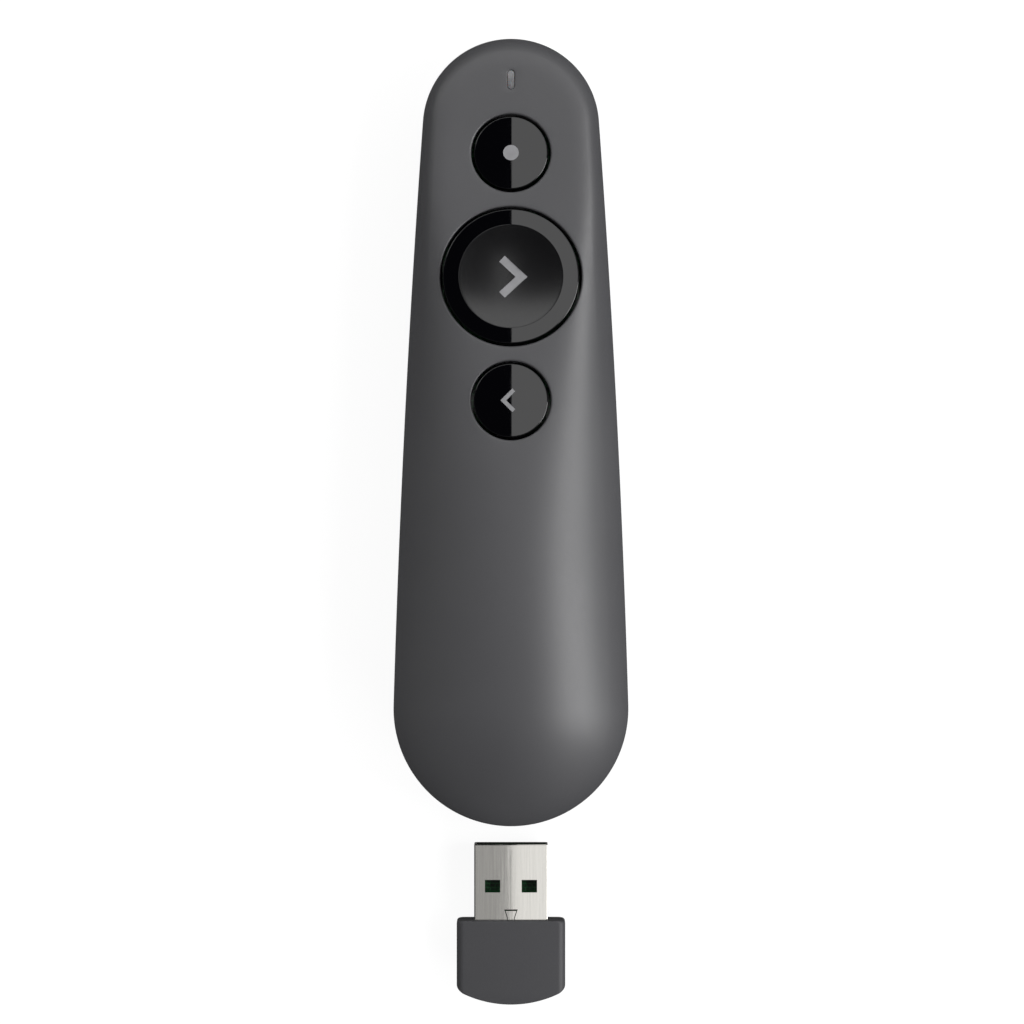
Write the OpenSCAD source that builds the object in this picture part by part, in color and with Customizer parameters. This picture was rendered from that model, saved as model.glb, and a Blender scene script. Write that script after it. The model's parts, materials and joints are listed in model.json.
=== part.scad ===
// Wireless presentation clicker, with the USB receiver that stows in its tail.
// Millimetres. +Z is up, towards the buttons, +Y points out of the head and +X
// is the right hand side. Remote and receiver lie on z = 0, and the origin is
// under the middle of the pair.

/* [Remote body] */
// Length from the tail tip to the head tip
body_length = 127; // [122:1:140]
// Radius of the round head, from above
head_radius = 14.25; // [13.8:0.05:15.5]
// Radius of the round tail, from above
tail_radius = 18.9; // [18:0.1:20.5]
// Radius of the long gentle bulge of each side
side_radius = 2200; // [1500:100:6000]
// Wall thickness of both shells
wall = 1.8; // [1.5:0.1:2]
// Height of the seam at the tail tip
seam_tail = 15; // [14:0.1:16]
// Height of the seam at the head tip
seam_head = 11; // [10.5:0.1:12]
// Width of the rounding between the sides and the flat back
belly_blend = 8; // [7:0.1:9]
// Squareness of that rounding, where 2 is a plain ellipse
belly_power = 2.6; // [2.2:0.1:3]
// Rise of the back at the head tip
head_rise = 2; // [0.5:0.1:2.4]
// Length over which the back rises
rise_length = 44; // [30:1:50]

/* [Crown and deck] */
// Slope of the flat deck that carries the buttons, in degrees
deck_tilt = 6.5; // [5.5:0.1:7]
// Distance from the deck's lower end back to the highest point
crown_run = 33; // [28:1:38]
// Fullness of the crown over the tail, where 2 is a plain dome
tail_fullness = 2.2; // [2:0.1:3]
// Fullness of the deck, which sets how tight its shoulders are
deck_fullness = 10; // [8:0.5:12]
// Length over which the dome turns into the deck
deck_blend = 26; // [20:1:32]
// Height of the upright skirt above the seam
skirt = 0.6; // [0.4:0.1:1]
// Depth of the groove along the seam
seam_groove = 0.3; // [0.1:0.05:0.5]
// Height of the lip that keys the two shells together
lip_height = 1; // [0.6:0.1:1.4]

/* [Buttons] */
// Distance from the head tip to the laser button's centre
laser_from_head = 18.95; // [18:0.05:20]
// Spacing between neighbouring button centres
button_pitch = 19.9; // [19.6:0.1:21]
// Radius of the laser and back caps
small_radius = 5.9; // [5.3:0.05:6.1]
// Radius of the next cap
large_radius = 10.85; // [10:0.05:11]
// Gap between a cap and the hole around it
cap_gap = 0.5; // [0.3:0.05:0.6]
// Broken edge of each cap's hole
hole_chamfer = 0.25; // [0.1:0.05:0.4]
// How far the caps stand above the deck
cap_rise = 0.2; // [0:0.05:0.5]
// Radius of the dish in the next cap
dish_radius = 8.3; // [7:0.1:9]
// Depth of that dish
dish_depth = 0.8; // [0.3:0.05:0.9]
// Travel of each button
press_travel = 0.5; // [0.2:0.05:0.6]
// Depth of the icon inlays
icon_depth = 0.4; // [0.2:0.05:0.6]
// Radius of the dot on the laser button
dot_radius = 1.25; // [0.8:0.05:2]
// Height of the chevron on the next button
next_icon_height = 6.8; // [4:0.1:8]
// Stroke of the chevron on the next button
next_icon_stroke = 1.3; // [0.8:0.05:1.6]
// Height of the chevron on the back button
back_icon_height = 3.8; // [3:0.1:5]
// Stroke of the chevron on the back button
back_icon_stroke = 0.65; // [0.4:0.05:0.9]

/* [Status light] */
// Distance from the head tip to the light's centre
light_from_head = 7.05; // [6.5:0.05:7.4]
// Length of the light's slot
light_length = 3; // [2:0.1:3.6]
// Width of the light's slot
light_width = 1.1; // [0.8:0.05:1.6]

/* [Laser] */
// Radius of the laser barrel
barrel_radius = 3; // [2.5:0.05:3]
// Length of the laser barrel
barrel_length = 14; // [11:0.5:15]
// Radius of the round window in the head
window_radius = 2.4; // [1.6:0.05:2.6]

/* [Battery bay] */
// Diameter of a cell
cell_diameter = 10.5; // [10:0.1:10.7]
// Length of a cell with its nub
cell_length = 44.5; // [43:0.1:45]
// Clearance around each cell
cell_play = 0.25; // [0.1:0.05:0.4]
// Room for a spring behind each cell
spring_room = 4.6; // [4:0.1:5]
// Thickness of the inner frame's walls
frame_wall = 1; // [0.8:0.1:1.2]
// Radius of the spring wire
wire_radius = 0.3; // [0.2:0.05:0.4]
// Turns of each spring
spring_turns = 4; // [3:1:5]
// Height of the door's ribs under the cells
door_rib = 0.35; // [0.2:0.05:0.6]
// Thinnest part of the frame's roof over the cells
roof_wall = 0.75; // [0.5:0.05:1]
// Gap around the battery door
door_gap = 0.3; // [0.2:0.05:0.4]
// Radius of the door's hinge barrel
hinge_radius = 1.2; // [1:0.05:1.3]
// Radius of the door's hinge pins
hinge_pin = 0.6; // [0.4:0.05:0.7]

/* [Receiver] */
// Width of the plug's metal shell
plug_width = 12; // [11.8:0.05:12.2]
// Thickness of the plug's metal shell
plug_height = 4.5; // [4.3:0.05:4.6]
// Length of the plug outside its housing
plug_length = 12.4; // [11.5:0.1:13]
// Sheet thickness of the plug's shell
plug_sheet = 0.3; // [0.2:0.05:0.4]
// Width of the receiver's housing
housing_width = 17.7; // [16:0.1:18]
// Length of the receiver's housing
housing_length = 13.7; // [12.5:0.1:14.5]
// Thickness of the receiver's housing
housing_height = 6.9; // [6.5:0.1:7.2]
// Gap between the plug's tip and the tail as the receiver lies
parking_gap = 3.7; // [1:0.1:8]
// Clearance around the receiver in its dock
dock_play = 0.3; // [0.2:0.05:0.5]

/* [Boards] */
// Thickness of the main board
board_thickness = 0.8; // [0.6:0.1:1]
// Height of the tallest part under the main board
part_height = 1; // [0.6:0.1:1.4]
// Clearance between those parts and the frame below
part_clearance = 0.2; // [0.1:0.05:0.5]
// Height of a press switch
switch_height = 1.2; // [1:0.1:1.4]
// Width of a press switch
switch_width = 6; // [4.5:0.1:6.5]
// Width of the radio chip
radio_width = 6; // [4:0.1:7]
// Length of the crystal
crystal_length = 3.2; // [2:0.1:3.4]
// Length of a capacitor
capacitor_length = 1.6; // [1:0.1:2]

/* [Screws] */
// Distance of the head's case screws from the middle line
head_screw_x = 8.6; // [8:0.1:9]
// Distance of the head's case screws below the laser button's centre
head_screw_drop = 8.2; // [7.5:0.1:9]
// Distance of the tail's case screws from the middle line
tail_screw_x = 11.5; // [10.5:0.1:12]
// Distance of the tail's case screws above the tail's centre
tail_screw_lift = 2.2; // [0:0.1:4]
// Radius of a case screw's shank
screw_shank = 0.9; // [0.7:0.05:1.1]
// Radius of a case screw's head
screw_head = 1.9; // [1.6:0.05:2.1]

/* [Hidden] */
$fn = 64;

// Colours
shell_grey = [0.30, 0.30, 0.31];
gloss_black = [0.05, 0.05, 0.06];
icon_grey = [0.69, 0.69, 0.70];
board_green = [0.08, 0.30, 0.16];
steel = [0.72, 0.72, 0.70];
gold = [0.83, 0.68, 0.32];

// Places along the length
total_length = body_length + parking_gap + plug_length + housing_length;
head_tip = total_length / 2;
tail_tip = head_tip - body_length;
head_y = head_tip - head_radius;
tail_y = tail_tip + tail_radius;
laser_y = head_tip - laser_from_head;
next_y = laser_y - button_pitch;
back_y = next_y - button_pitch;
light_y = head_tip - light_from_head;

// Height of the cells, from the door up to the frame's roof above them
cell_radius = cell_diameter / 2;
cell_z = wall + door_rib + cell_play + cell_radius;
roof_z = cell_z + cell_radius + cell_play + roof_wall;

// Stack below the deck, where 0 is the deck's surface
board_depth = 4.6;
board_top = -board_depth;
board_bottom = board_top - board_thickness;

// Battery bay, in order from the dock to the door's hinge
end_play = 0.05;
spring_slack = 0.5;
floor_rise = 1.6;
door_lap = 0.9;
hinge_tuck = 0.3;
hinge_lift = 0.15;
end_recess = belly_inset(housing_height);
receiver_end = -total_length / 2;
housing_front = receiver_end + housing_length;
stow_travel = tail_tip + end_recess + end_play - receiver_end;
dock_wall = 1.2;
dock_front = housing_front + stow_travel + dock_play;
pocket_front = housing_front + plug_length + stow_travel + dock_play;
pocket_end = pocket_front + dock_wall;
plug_z = housing_height / 2;
plug_root = 2.9;
plug_play = 0.02;
plug_window = [2.3, 2.1];
plug_window_x = 3;
plug_window_y = housing_front + 5.3;
dock_roof = plug_z + plug_height / 2 + dock_play + dock_wall;
cell_x = cell_radius + cell_play + 0.1;
bay_half = cell_x + cell_radius + cell_play;
bay_start = pocket_end + door_gap + frame_wall;
bay_length = cell_length + spring_room + spring_slack;
bay_end = bay_start + bay_length;
frame_end = bay_end + frame_wall;
bay_floor = wall + floor_rise;
door_half = bay_half + door_lap;
door_start = pocket_end + 2 * door_gap;
hinge_y = frame_end + hinge_radius - hinge_tuck;
hinge_z = hinge_radius + hinge_lift;
hinge_half = 9;
pin_play = 0.05;
lug_width = 2;
lug_bottom = 0.5;
door_end = hinge_y - 0.8;
hole_end = hinge_y + hinge_radius + door_gap;
plate_thickness = 0.4;
foot_half = hinge_half - 2;

// The deck is a straight slope from its lower end to the head. It is as high as
// the board and its parts need to pass over the head end of the frame.
deck_below_back = 4.6;
deck_y = back_y - deck_below_back;
deck_z = roof_z + part_clearance + part_height - board_bottom / cos(deck_tilt)
    + tan(deck_tilt) * (frame_end - deck_y);
crown_y = deck_y - crown_run;
crown_bend = tan(deck_tilt) / (2 * crown_run);
body_height = deck_z + crown_bend * crown_run * crown_run;

// The outline is a head arc, a long side arc and a tail arc that meet in line
side_y = (head_y + tail_y - (tail_radius - head_radius)
    * (2 * side_radius - head_radius - tail_radius) / (head_y - tail_y)) / 2;
side_x = sqrt(pow(side_radius - head_radius, 2) - pow(head_y - side_y, 2));
head_angle = atan2(head_y - side_y, side_x);
tail_angle = atan2(tail_y - side_y, side_x);
head_steps = 11;
side_steps = 12;
tail_steps = 13;
half_turn = concat(
    [for (i = [0 : head_steps - 1]) 90 - (90 - head_angle) * i / head_steps],
    [for (i = [0 : side_steps - 1]) head_angle - (head_angle - tail_angle) * i / side_steps],
    [for (i = [0 : tail_steps]) tail_angle - (tail_angle + 90) * i / tail_steps]);
half_count = len(half_turn);
ring_count = 2 * half_count - 2;

// Shares of the way from the spine to the edge at which the crown has a ring
crown_shares = [0.02, 0.12, 0.4, 0.6, 0.74, 0.84, 0.91, 0.96, 0.988, 1];
inner_shares = [1, 0.97, 0.92, 0.84, 0.72, 0.5, 0.12];
crown_edge = 0.8;
belly_steps = 7;
inner_belly_steps = 5;

function lerp(a, b, t) = a + (b - a) * t;
function clamp(t) = max(0, min(1, t));
function ease(t) = let (u = clamp(t)) u * u * (3 - 2 * u);

// A point of the outline at one direction of its normal, moved in by inset
function rim(turn, inset) =
    turn > head_angle
    ? [(head_radius - inset) * cos(turn), head_y + (head_radius - inset) * sin(turn)]
    : turn < tail_angle
    ? [(tail_radius - inset) * cos(turn), tail_y + (tail_radius - inset) * sin(turn)]
    : [(side_radius - inset) * cos(turn) - side_x, side_y + (side_radius - inset) * sin(turn)];
function spine(turn) = lerp(tail_y, head_y, clamp((turn - tail_angle) / (head_angle - tail_angle)));
function half_width(y) = sqrt(side_radius * side_radius - pow(y - side_y, 2)) - side_x;

// Heights: seam plane, ridge of the crown, and the back
function seam_z(y) = lerp(seam_tail, seam_head, (y - tail_tip) / body_length);
function ridge_z(y) =
    y < deck_y
    ? body_height - crown_bend * pow(y - crown_y, 2)
    : deck_z - tan(deck_tilt) * (y - deck_y);
flat_end = head_tip - rise_length;
function back_z(y) = head_rise * pow(max(0, y - flat_end) / (head_tip - flat_end), 2);
function fullness(y) = lerp(tail_fullness, deck_fullness, ease((y - deck_y + 8) / deck_blend));
function crown_z(y, share, depth) =
    let (foot = seam_z(y) + skirt)
    foot + (ridge_z(y) - depth - foot) * pow(1 - pow(share, fullness(y)), crown_edge);
function belly_share(step) = pow(1 - pow(1 - step, belly_power), 1 / belly_power);
// How far in from the outline the back's rounding is at a height above the back
function belly_inset(height) =
    belly_blend * (1 - pow(1 - pow(1 - height / seam_tail, belly_power), 1 / belly_power));

// Rings of the shells. Each function returns a ring's point for one direction.
function crown_point(turn, share, depth) =
    let (edge = rim(turn, depth), y = lerp(spine(turn), edge[1], share))
    [edge[0] * share, y, crown_z(y, share, depth)];
function seam_point(turn, inset, lift) =
    let (edge = rim(turn, inset))
    [edge[0], edge[1], seam_z(edge[1]) + lift];
function belly_point(turn, step, depth) =
    let (edge = rim(turn, depth + step * (belly_blend - depth)), low = back_z(edge[1]) + depth)
    [edge[0], edge[1], low + (seam_z(edge[1]) - low) * (1 - belly_share(step))];
function ring_turn(i) = half_turn[i < half_count ? i : ring_count - i];
function side_of(i) = i < half_count ? 1 : -1;
function mirrored(point, side) = [point[0] * side, point[1], point[2]];
function crown_ring(share, depth) =
    [for (i = [0 : ring_count - 1]) mirrored(crown_point(ring_turn(i), share, depth), side_of(i))];
function seam_ring(inset, lift) =
    [for (i = [0 : ring_count - 1]) mirrored(seam_point(ring_turn(i), inset, lift), side_of(i))];
function belly_ring(step, depth) =
    [for (i = [0 : ring_count - 1]) mirrored(belly_point(ring_turn(i), step, depth), side_of(i))];

// Faces between two rings, and a cap of strips that join left and right
function band(k) = [
    for (i = [0 : ring_count - 1])
    let (j = (i + 1) % ring_count, a = k * ring_count, b = a + ring_count)
    each [[a + j, a + i, b + i], [a + j, b + i, b + j]]];
function cap(k) = [
    for (i = [0 : half_count - 2])
    let (a = k * ring_count)
    i == 0 ? [a, a + 1, a + ring_count - 1]
    : i == half_count - 2 ? [a + i, a + i + 1, a + ring_count - i]
    : [a + i, a + i + 1, a + ring_count - i - 1, a + ring_count - i]];
function turned(faces) = [for (face = faces) [for (i = [len(face) - 1 : -1 : 0]) face[i]]];

// A closed solid through a list of rings, which starts at a cap that faces up
module loft(rings, starts_low = false) {
    last = len(rings) - 1;
    faces = concat(cap(0), [for (k = [0 : last - 1]) each band(k)], turned(cap(last)));
    polyhedron([for (ring = rings) each ring], starts_low ? turned(faces) : faces, 4);
}

// Places in the deck's own frame: x, distance up the slope, height above it
module on_deck(y = deck_y) {
    translate([0, y, deck_z - tan(deck_tilt) * (y - deck_y)])
        rotate([-deck_tilt, 0, 0])
            children();
}

// Buttons and switches below the deck
switch_half = switch_width / 2;
actuator_radius = 1.6;
actuator_play = 0.08;
cap_thickness = 1.4;
cap_skirt = 0.85;
tab_top = -wall - 0.3;
tab_thickness = 0.7;
tab_width = 5;
tab_reach = 0.9;
stem_radius = 1.3;
stem_bottom = board_top + switch_height + 0.7;
light_play = 0.05;

// Laser, screws and posts
laser_z = back_z(head_tip - 4) + wall + barrel_radius + 0.15;
window_thickness = 1.6;
window_play = 0.02;
window_back = head_tip - wall - 1;
barrel_play = 0.03;
barrel_front = window_back - 0.4;
barrel_back = barrel_front - barrel_length;
cradle_length = 1.6;
head_screw = [head_screw_x, laser_y - head_screw_drop];
tail_screw = [tail_screw_x, tail_y + tail_screw_lift];
screw_places = [head_screw, tail_screw];
screw_play = 0.02;
head_play = 0.15;
shank_play = 0.2;
post_radius = 2.2;
post_gap = 0.1;
foot_radius = 2.9;
screw_seat = 2.2;
foot_top = 7;
screw_top = foot_top + 5;
board_screw_places = [[9, back_y + 7.9], [7, laser_y + 7.3]];
board_screw_radius = 0.7;
board_screw_length = 2.8;
board_post_radius = 1.8;
// Share of the wall up to which posts and ribs reach into it
bite = 0.6;

// A rectangle with round corners, from its middle
module round_plate(width, length, radius, thickness) {
    linear_extrude(thickness) {
        square([width - 2 * radius, length], center = true);
        square([width, length - 2 * radius], center = true);
        for (x = [-1, 1], y = [-1, 1])
            translate([x * (width / 2 - radius), y * (length / 2 - radius)])
                circle(radius);
    }
}

// A slot with round ends along Y
module slot(width, length, thickness) {
    linear_extrude(thickness) {
        square([width, length - width], center = true);
        for (y = [-1, 1])
            translate([0, y * (length - width) / 2])
                circle(width / 2);
    }
}

// A box from its lowest to its highest corner
module block(low, high) {
    translate(low)
        cube(high - low);
}

module both_sides() {
    children();
    mirror([1, 0, 0])
        children();
}

// ---------- Shells ----------

module top_skin() {
    loft(concat(
        [for (share = crown_shares) crown_ring(share, 0)],
        [seam_ring(0, 0.2)],
        [seam_ring(seam_groove, 0)],
        [seam_ring(wall / 2 + 0.05, 0)],
        [seam_ring(wall / 2 + 0.05, lip_height + 0.1)],
        [seam_ring(wall, lip_height + 0.15)],
        [for (share = inner_shares) crown_ring(share, wall)]));
}

module bottom_skin() {
    loft(concat(
        [for (i = [belly_steps : -1 : 0]) belly_ring(pow(i / belly_steps, 1.4), 0)],
        [seam_ring(seam_groove, 0)],
        [seam_ring(wall / 2 + 0.1, 0)],
        [seam_ring(wall / 2 + 0.1, lip_height)],
        [seam_ring(wall, lip_height)],
        [for (i = [0 : inner_belly_steps]) belly_ring(pow(i / inner_belly_steps, 1.4), wall)]),
        starts_low = true);
}

// The bottom half as a full solid, set in from the outside by depth
module belly_core(depth) {
    loft([
        for (i = [belly_steps : -1 : 0]) belly_ring(pow(i / belly_steps, 1.4), depth)],
        starts_low = true);
}

module top_shell() {
    color(shell_grey)
        difference() {
            union() {
                top_skin();
                both_sides()
                    for (place = screw_places)
                        screw_post(place);
                both_sides()
                    for (place = board_screw_places)
                        on_deck(place[1])
                            translate([place[0], 0, board_top])
                                cylinder(r = board_post_radius, h = -board_top - wall * bite);
            }
            button_hole(laser_y, small_radius);
            button_hole(next_y, large_radius);
            button_hole(back_y, small_radius);
            on_deck(light_y)
                translate([0, 0, -2 * wall])
                    slot(light_width + 2 * light_play, light_length + 2 * light_play, 4 * wall);
            both_sides() {
                for (place = screw_places)
                    translate([place[0], place[1], foot_top - 1])
                        cylinder(r = screw_shank + screw_play, h = screw_top - foot_top + 2);
                for (place = board_screw_places)
                    on_deck(place[1])
                        translate([place[0], 0, board_top - 1])
                            cylinder(r = board_screw_radius + screw_play, h = board_screw_length + 0.8);
            }
        }
}

// A post for a case screw, from just above the foot up into the crown
module screw_post(place) {
    outer = (place[0] + post_radius) / half_width(place[1]);
    bottom = foot_top + post_gap;
    top = crown_z(place[1] + post_radius, outer, 0) - wall * bite;
    translate([place[0], place[1], bottom])
        cylinder(r = post_radius, h = top - bottom);
}

// A hole for a cap, with its edge broken at the deck
module button_hole(y, radius) {
    hole = radius + cap_gap;
    on_deck(y) {
        translate([0, 0, -3 * wall])
            cylinder(r = hole, h = 5 * wall);
        translate([0, 0, -hole_chamfer])
            cylinder(r1 = hole, r2 = hole + 2 * hole_chamfer, h = 2 * hole_chamfer);
    }
}

module bottom_shell() {
    color(shell_grey) {
        bottom_case();
        hinge_lugs();
    }
}

module bottom_case() {
    difference() {
        union() {
            bottom_skin();
            dock_walls();
            both_sides()
                for (place = screw_places)
                    translate([place[0], place[1], wall * 0.8])
                        cylinder(r = foot_radius, h = foot_top - wall * 0.8);
            for (y = [barrel_back + 3, barrel_front - 2.6])
                laser_cradle(y);
        }
        dock_space();
        block([-door_half - door_gap, door_start - door_gap, -1],
            [door_half + door_gap, hole_end, bay_floor - 0.1]);
        both_sides()
            for (place = screw_places)
                translate([place[0], place[1], 0]) {
                    translate([0, 0, -1])
                        cylinder(r = screw_head + head_play, h = screw_seat + 1);
                    cylinder(r = screw_shank + shank_play, h = foot_top + 1);
                }
        along_y(barrel_back, laser_z)
            cylinder(r = barrel_radius + barrel_play, h = barrel_length);
        along_y(window_back - 1, laser_z)
            cylinder(r = window_radius + window_play, h = wall + 2.2);
    }
}

// Ribs that carry the laser barrel from below
module laser_cradle(y) {
    half = barrel_radius + 1.4;
    block([-half, y, back_z(y) + wall * 0.7], [half, y + cradle_length, laser_z]);
}

// Walls around the receiver's dock, cut to the inside of the bottom shell
module dock_walls() {
    intersection() {
        belly_core(wall / 2);
        block([-housing_width / 2 - dock_play - dock_wall, tail_tip - 1, wall / 2],
            [housing_width / 2 + dock_play + dock_wall, dock_front + dock_wall,
                housing_height + dock_play + dock_wall]);
    }
    block([-plug_width / 2 - dock_play - dock_wall, dock_front, wall / 2],
        [plug_width / 2 + dock_play + dock_wall, pocket_end, dock_roof]);
}

// The space that the stowed receiver takes, open at the back and the tail
module dock_space() {
    block([-housing_width / 2 - dock_play, tail_tip - 5, -1],
        [housing_width / 2 + dock_play, dock_front, housing_height + dock_play]);
    block([-plug_width / 2 - dock_play, tail_tip, plug_z - plug_height / 2 - dock_play],
        [plug_width / 2 + dock_play, pocket_front, plug_z + plug_height / 2 + dock_play]);
}

// Two lugs on the bottom shell that hold the door's hinge pins
module hinge_lugs() {
    both_sides()
        difference() {
            block([hinge_half + door_gap, hinge_y - hinge_radius, lug_bottom],
                [hinge_half + door_gap + lug_width, hole_end + 2, bay_floor - 0.1]);
            hinge_axis(hinge_pin + pin_play, 2 * (hinge_half + 2 * lug_width));
        }
}

module hinge_axis(radius, width) {
    translate([-width / 2, hinge_y, hinge_z])
        rotate([0, 90, 0])
            cylinder(r = radius, h = width);
}

// ---------- Inside the case ----------

// Frame that holds the two cells, open towards the door. A foot at its head end
// steps over the hinge, and a tongue at its tail end lies on the dock's roof.
module inner_frame() {
    foot_thickness = 1.4;
    foot_end = hole_end + 4;
    color("dimgray")
        difference() {
            union() {
                block([-bay_half - frame_wall, bay_start - frame_wall, bay_floor],
                    [bay_half + frame_wall, frame_end, roof_z]);
                block([-foot_half, bay_end, bay_floor + 0.2],
                    [foot_half, foot_end, bay_floor + 0.2 + foot_thickness]);
                block([-foot_half, hole_end + 1.2, wall + 0.1], [foot_half, foot_end, bay_floor + 1]);
                block([-plug_width / 2, dock_front + 2, dock_roof],
                    [plug_width / 2, bay_start, dock_roof + foot_thickness]);
            }
            for (x = [-cell_x, cell_x])
                cell_room(x);
            block([-bay_half, bay_start, bay_floor - 1], [bay_half, bay_end, cell_z + 1.5]);
        }
}

module cell_room(x) {
    translate([x, bay_start, cell_z])
        rotate([-90, 0, 0])
            cylinder(r = cell_radius + cell_play, h = bay_length);
}

// A cell along Y: can, shoulder and nub, with its nub towards +Y
module cell() {
    nub_radius = 1.9;
    nub_length = 1.2;
    crimp = 0.5;
    rotate([-90, 0, 0])
        rotate_extrude()
            polygon([
                [0, 0], [cell_radius - crimp, 0], [cell_radius, crimp],
                [cell_radius, cell_length - nub_length - crimp],
                [cell_radius - crimp, cell_length - nub_length],
                [nub_radius, cell_length - nub_length],
                [nub_radius, cell_length], [0, cell_length]]);
}

module cell_left() {
    color("darkslategray")
        translate([-cell_x, bay_end - plate_thickness - 0.1 - cell_length, cell_z])
            cell();
}

module cell_right() {
    color("darkslategray")
        translate([cell_x, bay_start + plate_thickness + 0.1 + cell_length, cell_z])
            rotate([0, 0, 180])
                cell();
}

// A tapering coil along Y from the plate at y = 0 to the cell at y = reach
module coil(reach) {
    segments = 12;
    sides = 6;
    wide = cell_radius - 1.6;
    narrow = 2.2;
    count = spring_turns * segments;
    points = [
        for (i = [0 : count], k = [0 : sides - 1])
        let (t = i / count, turn = 360 * i / segments, tilt = 360 * k / sides,
            radius = lerp(wide, narrow, t) + wire_radius * cos(tilt))
        [radius * cos(turn), wire_radius + (reach - 2 * wire_radius) * t + wire_radius * sin(tilt),
            radius * sin(turn)]];
    tube = [
        for (i = [0 : count - 1], k = [0 : sides - 1])
        let (m = (k + 1) % sides, a = i * sides, b = a + sides)
        each [[a + k, a + m, b + m], [a + k, b + m, b + k]]];
    ends = [[for (k = [sides - 1 : -1 : 0]) k], [for (k = [0 : sides - 1]) count * sides + k]];
    polyhedron(points, concat(tube, ends), 6);
}

module cell_springs() {
    reach = spring_room - plate_thickness - 0.2;
    color(steel) {
        translate([-cell_x, bay_start + plate_thickness + 0.02, cell_z])
            coil(reach);
        translate([cell_x, bay_end - plate_thickness - 0.02, cell_z])
            rotate([0, 0, 180])
                coil(reach);
    }
}

// One bridge plate at the tail, two plates with tails at the head
module cell_contacts() {
    plate_half = cell_radius - 0.8;
    color(steel) {
        block([-cell_x - plate_half, bay_start, cell_z - plate_half],
            [cell_x + plate_half, bay_start + plate_thickness, cell_z]);
        for (x = [-cell_x, cell_x]) {
            block([x - plate_half, bay_end - plate_thickness, cell_z - plate_half],
                [x + plate_half, bay_end, cell_z]);
        }
    }
}

// Board in the deck's frame, with a neck between the case posts
module main_board() {
    neck = head_screw[0] - post_radius - 0.5;
    color(board_green)
        on_deck(next_y)
            translate([0, 0, board_bottom])
                difference() {
                    linear_extrude(board_thickness)
                        polygon(concat(board_side(1, neck), board_side(-1, neck)));
                    both_sides()
                        for (place = board_screw_places)
                            translate([place[0], deck_length(next_y, place[1]), -1])
                                cylinder(r = board_screw_radius + 0.2, h = board_thickness + 2);
                }
}

// Distance along the slope between two places in y
function deck_length(from_y, to_y) = (to_y - from_y) / cos(deck_tilt);

// One side of the board's outline, from the tail up, or from the head down
function board_side(side, neck) =
    let (
        half = bay_half - 0.1,
        tail = deck_length(next_y, back_y - 6),
        waist = deck_length(next_y, head_screw[1] - post_radius - 2),
        shoulder = deck_length(next_y, head_screw[1] + post_radius + 0.6),
        head = deck_length(next_y, light_y + 0.1),
        right = [
            [half, tail], [half, waist - 2], [neck, waist], [neck, shoulder],
            [neck + 3, shoulder + 1.4], [neck + 3, head - 4], [neck, head]])
    side > 0 ? right : [for (i = [len(right) - 1 : -1 : 0]) [-right[i][0], right[i][1]]];

// A flat part soldered under the board, at x and a distance along it
module soldered(x, along, width, length, height) {
    translate([x - width / 2, along - length / 2, board_bottom - height])
        cube([width, length, height]);
}

// Radio, memory and crystal near the head, capacitors beside the switches
module board_parts() {
    crystal_width = crystal_length * 0.75;
    color([0.12, 0.12, 0.13])
        on_deck(next_y) {
            soldered(0, switch_half + radio_width / 2, radio_width, radio_width, part_height);
            soldered(-radio_width, radio_width / 2, crystal_length, crystal_width, part_height);
            soldered(radio_width, radio_width / 2, crystal_length, crystal_length, part_height * 0.8);
            for (x = [-1.6, -1.1, 1.1, 1.6])
                soldered(x * switch_width, -switch_width, capacitor_length / 2, capacitor_length,
                    part_height * 0.6);
            both_sides()
                soldered(1.4 * switch_width, deck_length(next_y, back_y), capacitor_length,
                    2 * capacitor_length, part_height * 0.8);
        }
}

// The three switches under the buttons
module switch_cases() {
    color([0.16, 0.16, 0.17])
        for (y = [laser_y, next_y, back_y])
            on_deck(y)
                difference() {
                    block([-switch_half, -switch_half, board_top],
                        [switch_half, switch_half, board_top + switch_height]);
                    translate([0, 0, board_top + 0.1])
                        cylinder(r = actuator_radius + actuator_play, h = switch_height + 1);
                }
}

module status_led() {
    led_side = 1.2;
    led_height = 0.8;
    color("white")
        on_deck(light_y)
            translate([-led_side / 2, -0.2 - led_side, board_top])
                cube([led_side, led_side, led_height]);
}

// Clear pipe from the LED up to the slot in the shell
module light_pipe() {
    foot = 0.25;
    color([0.85, 0.85, 0.85])
        on_deck(light_y) {
            translate([0, 0, -wall - 1])
                slot(light_width, light_length, wall + 0.95);
            block([-light_width / 2 - foot, -light_length / 2, board_top + 1],
                [light_width / 2 + foot, 0, -wall - 0.7]);
        }
}

// ---------- Laser ----------

module along_y(y, z) {
    translate([0, y, z])
        rotate([-90, 0, 0])
            children();
}

// Brass tube with a seat for the diode at its back and one for the lens in front
diode_seat = 4;
lens_seat = 3;
seat_radius = barrel_radius - 0.7;
part_radius = seat_radius - 0.05;

module laser_barrel() {
    color([0.75, 0.62, 0.30])
        along_y(barrel_back, laser_z)
            difference() {
                cylinder(r = barrel_radius, h = barrel_length);
                translate([0, 0, -1])
                    cylinder(r = seat_radius, h = diode_seat + 1);
                translate([0, 0, diode_seat - 0.1])
                    cylinder(r = barrel_radius / 2, h = barrel_length);
                translate([0, 0, barrel_length - lens_seat])
                    cylinder(r = seat_radius, h = lens_seat + 1);
            }
}

module laser_diode() {
    base_bottom = 0.6;
    base_top = 1.8;
    can_radius = 1.4;
    can_top = diode_seat - 0.2;
    color("silver")
        along_y(barrel_back, laser_z)
            rotate_extrude()
                polygon([
                    [0, base_bottom], [part_radius, base_bottom], [part_radius, base_top],
                    [can_radius, base_top], [can_radius, can_top], [0, can_top]]);
}

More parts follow.
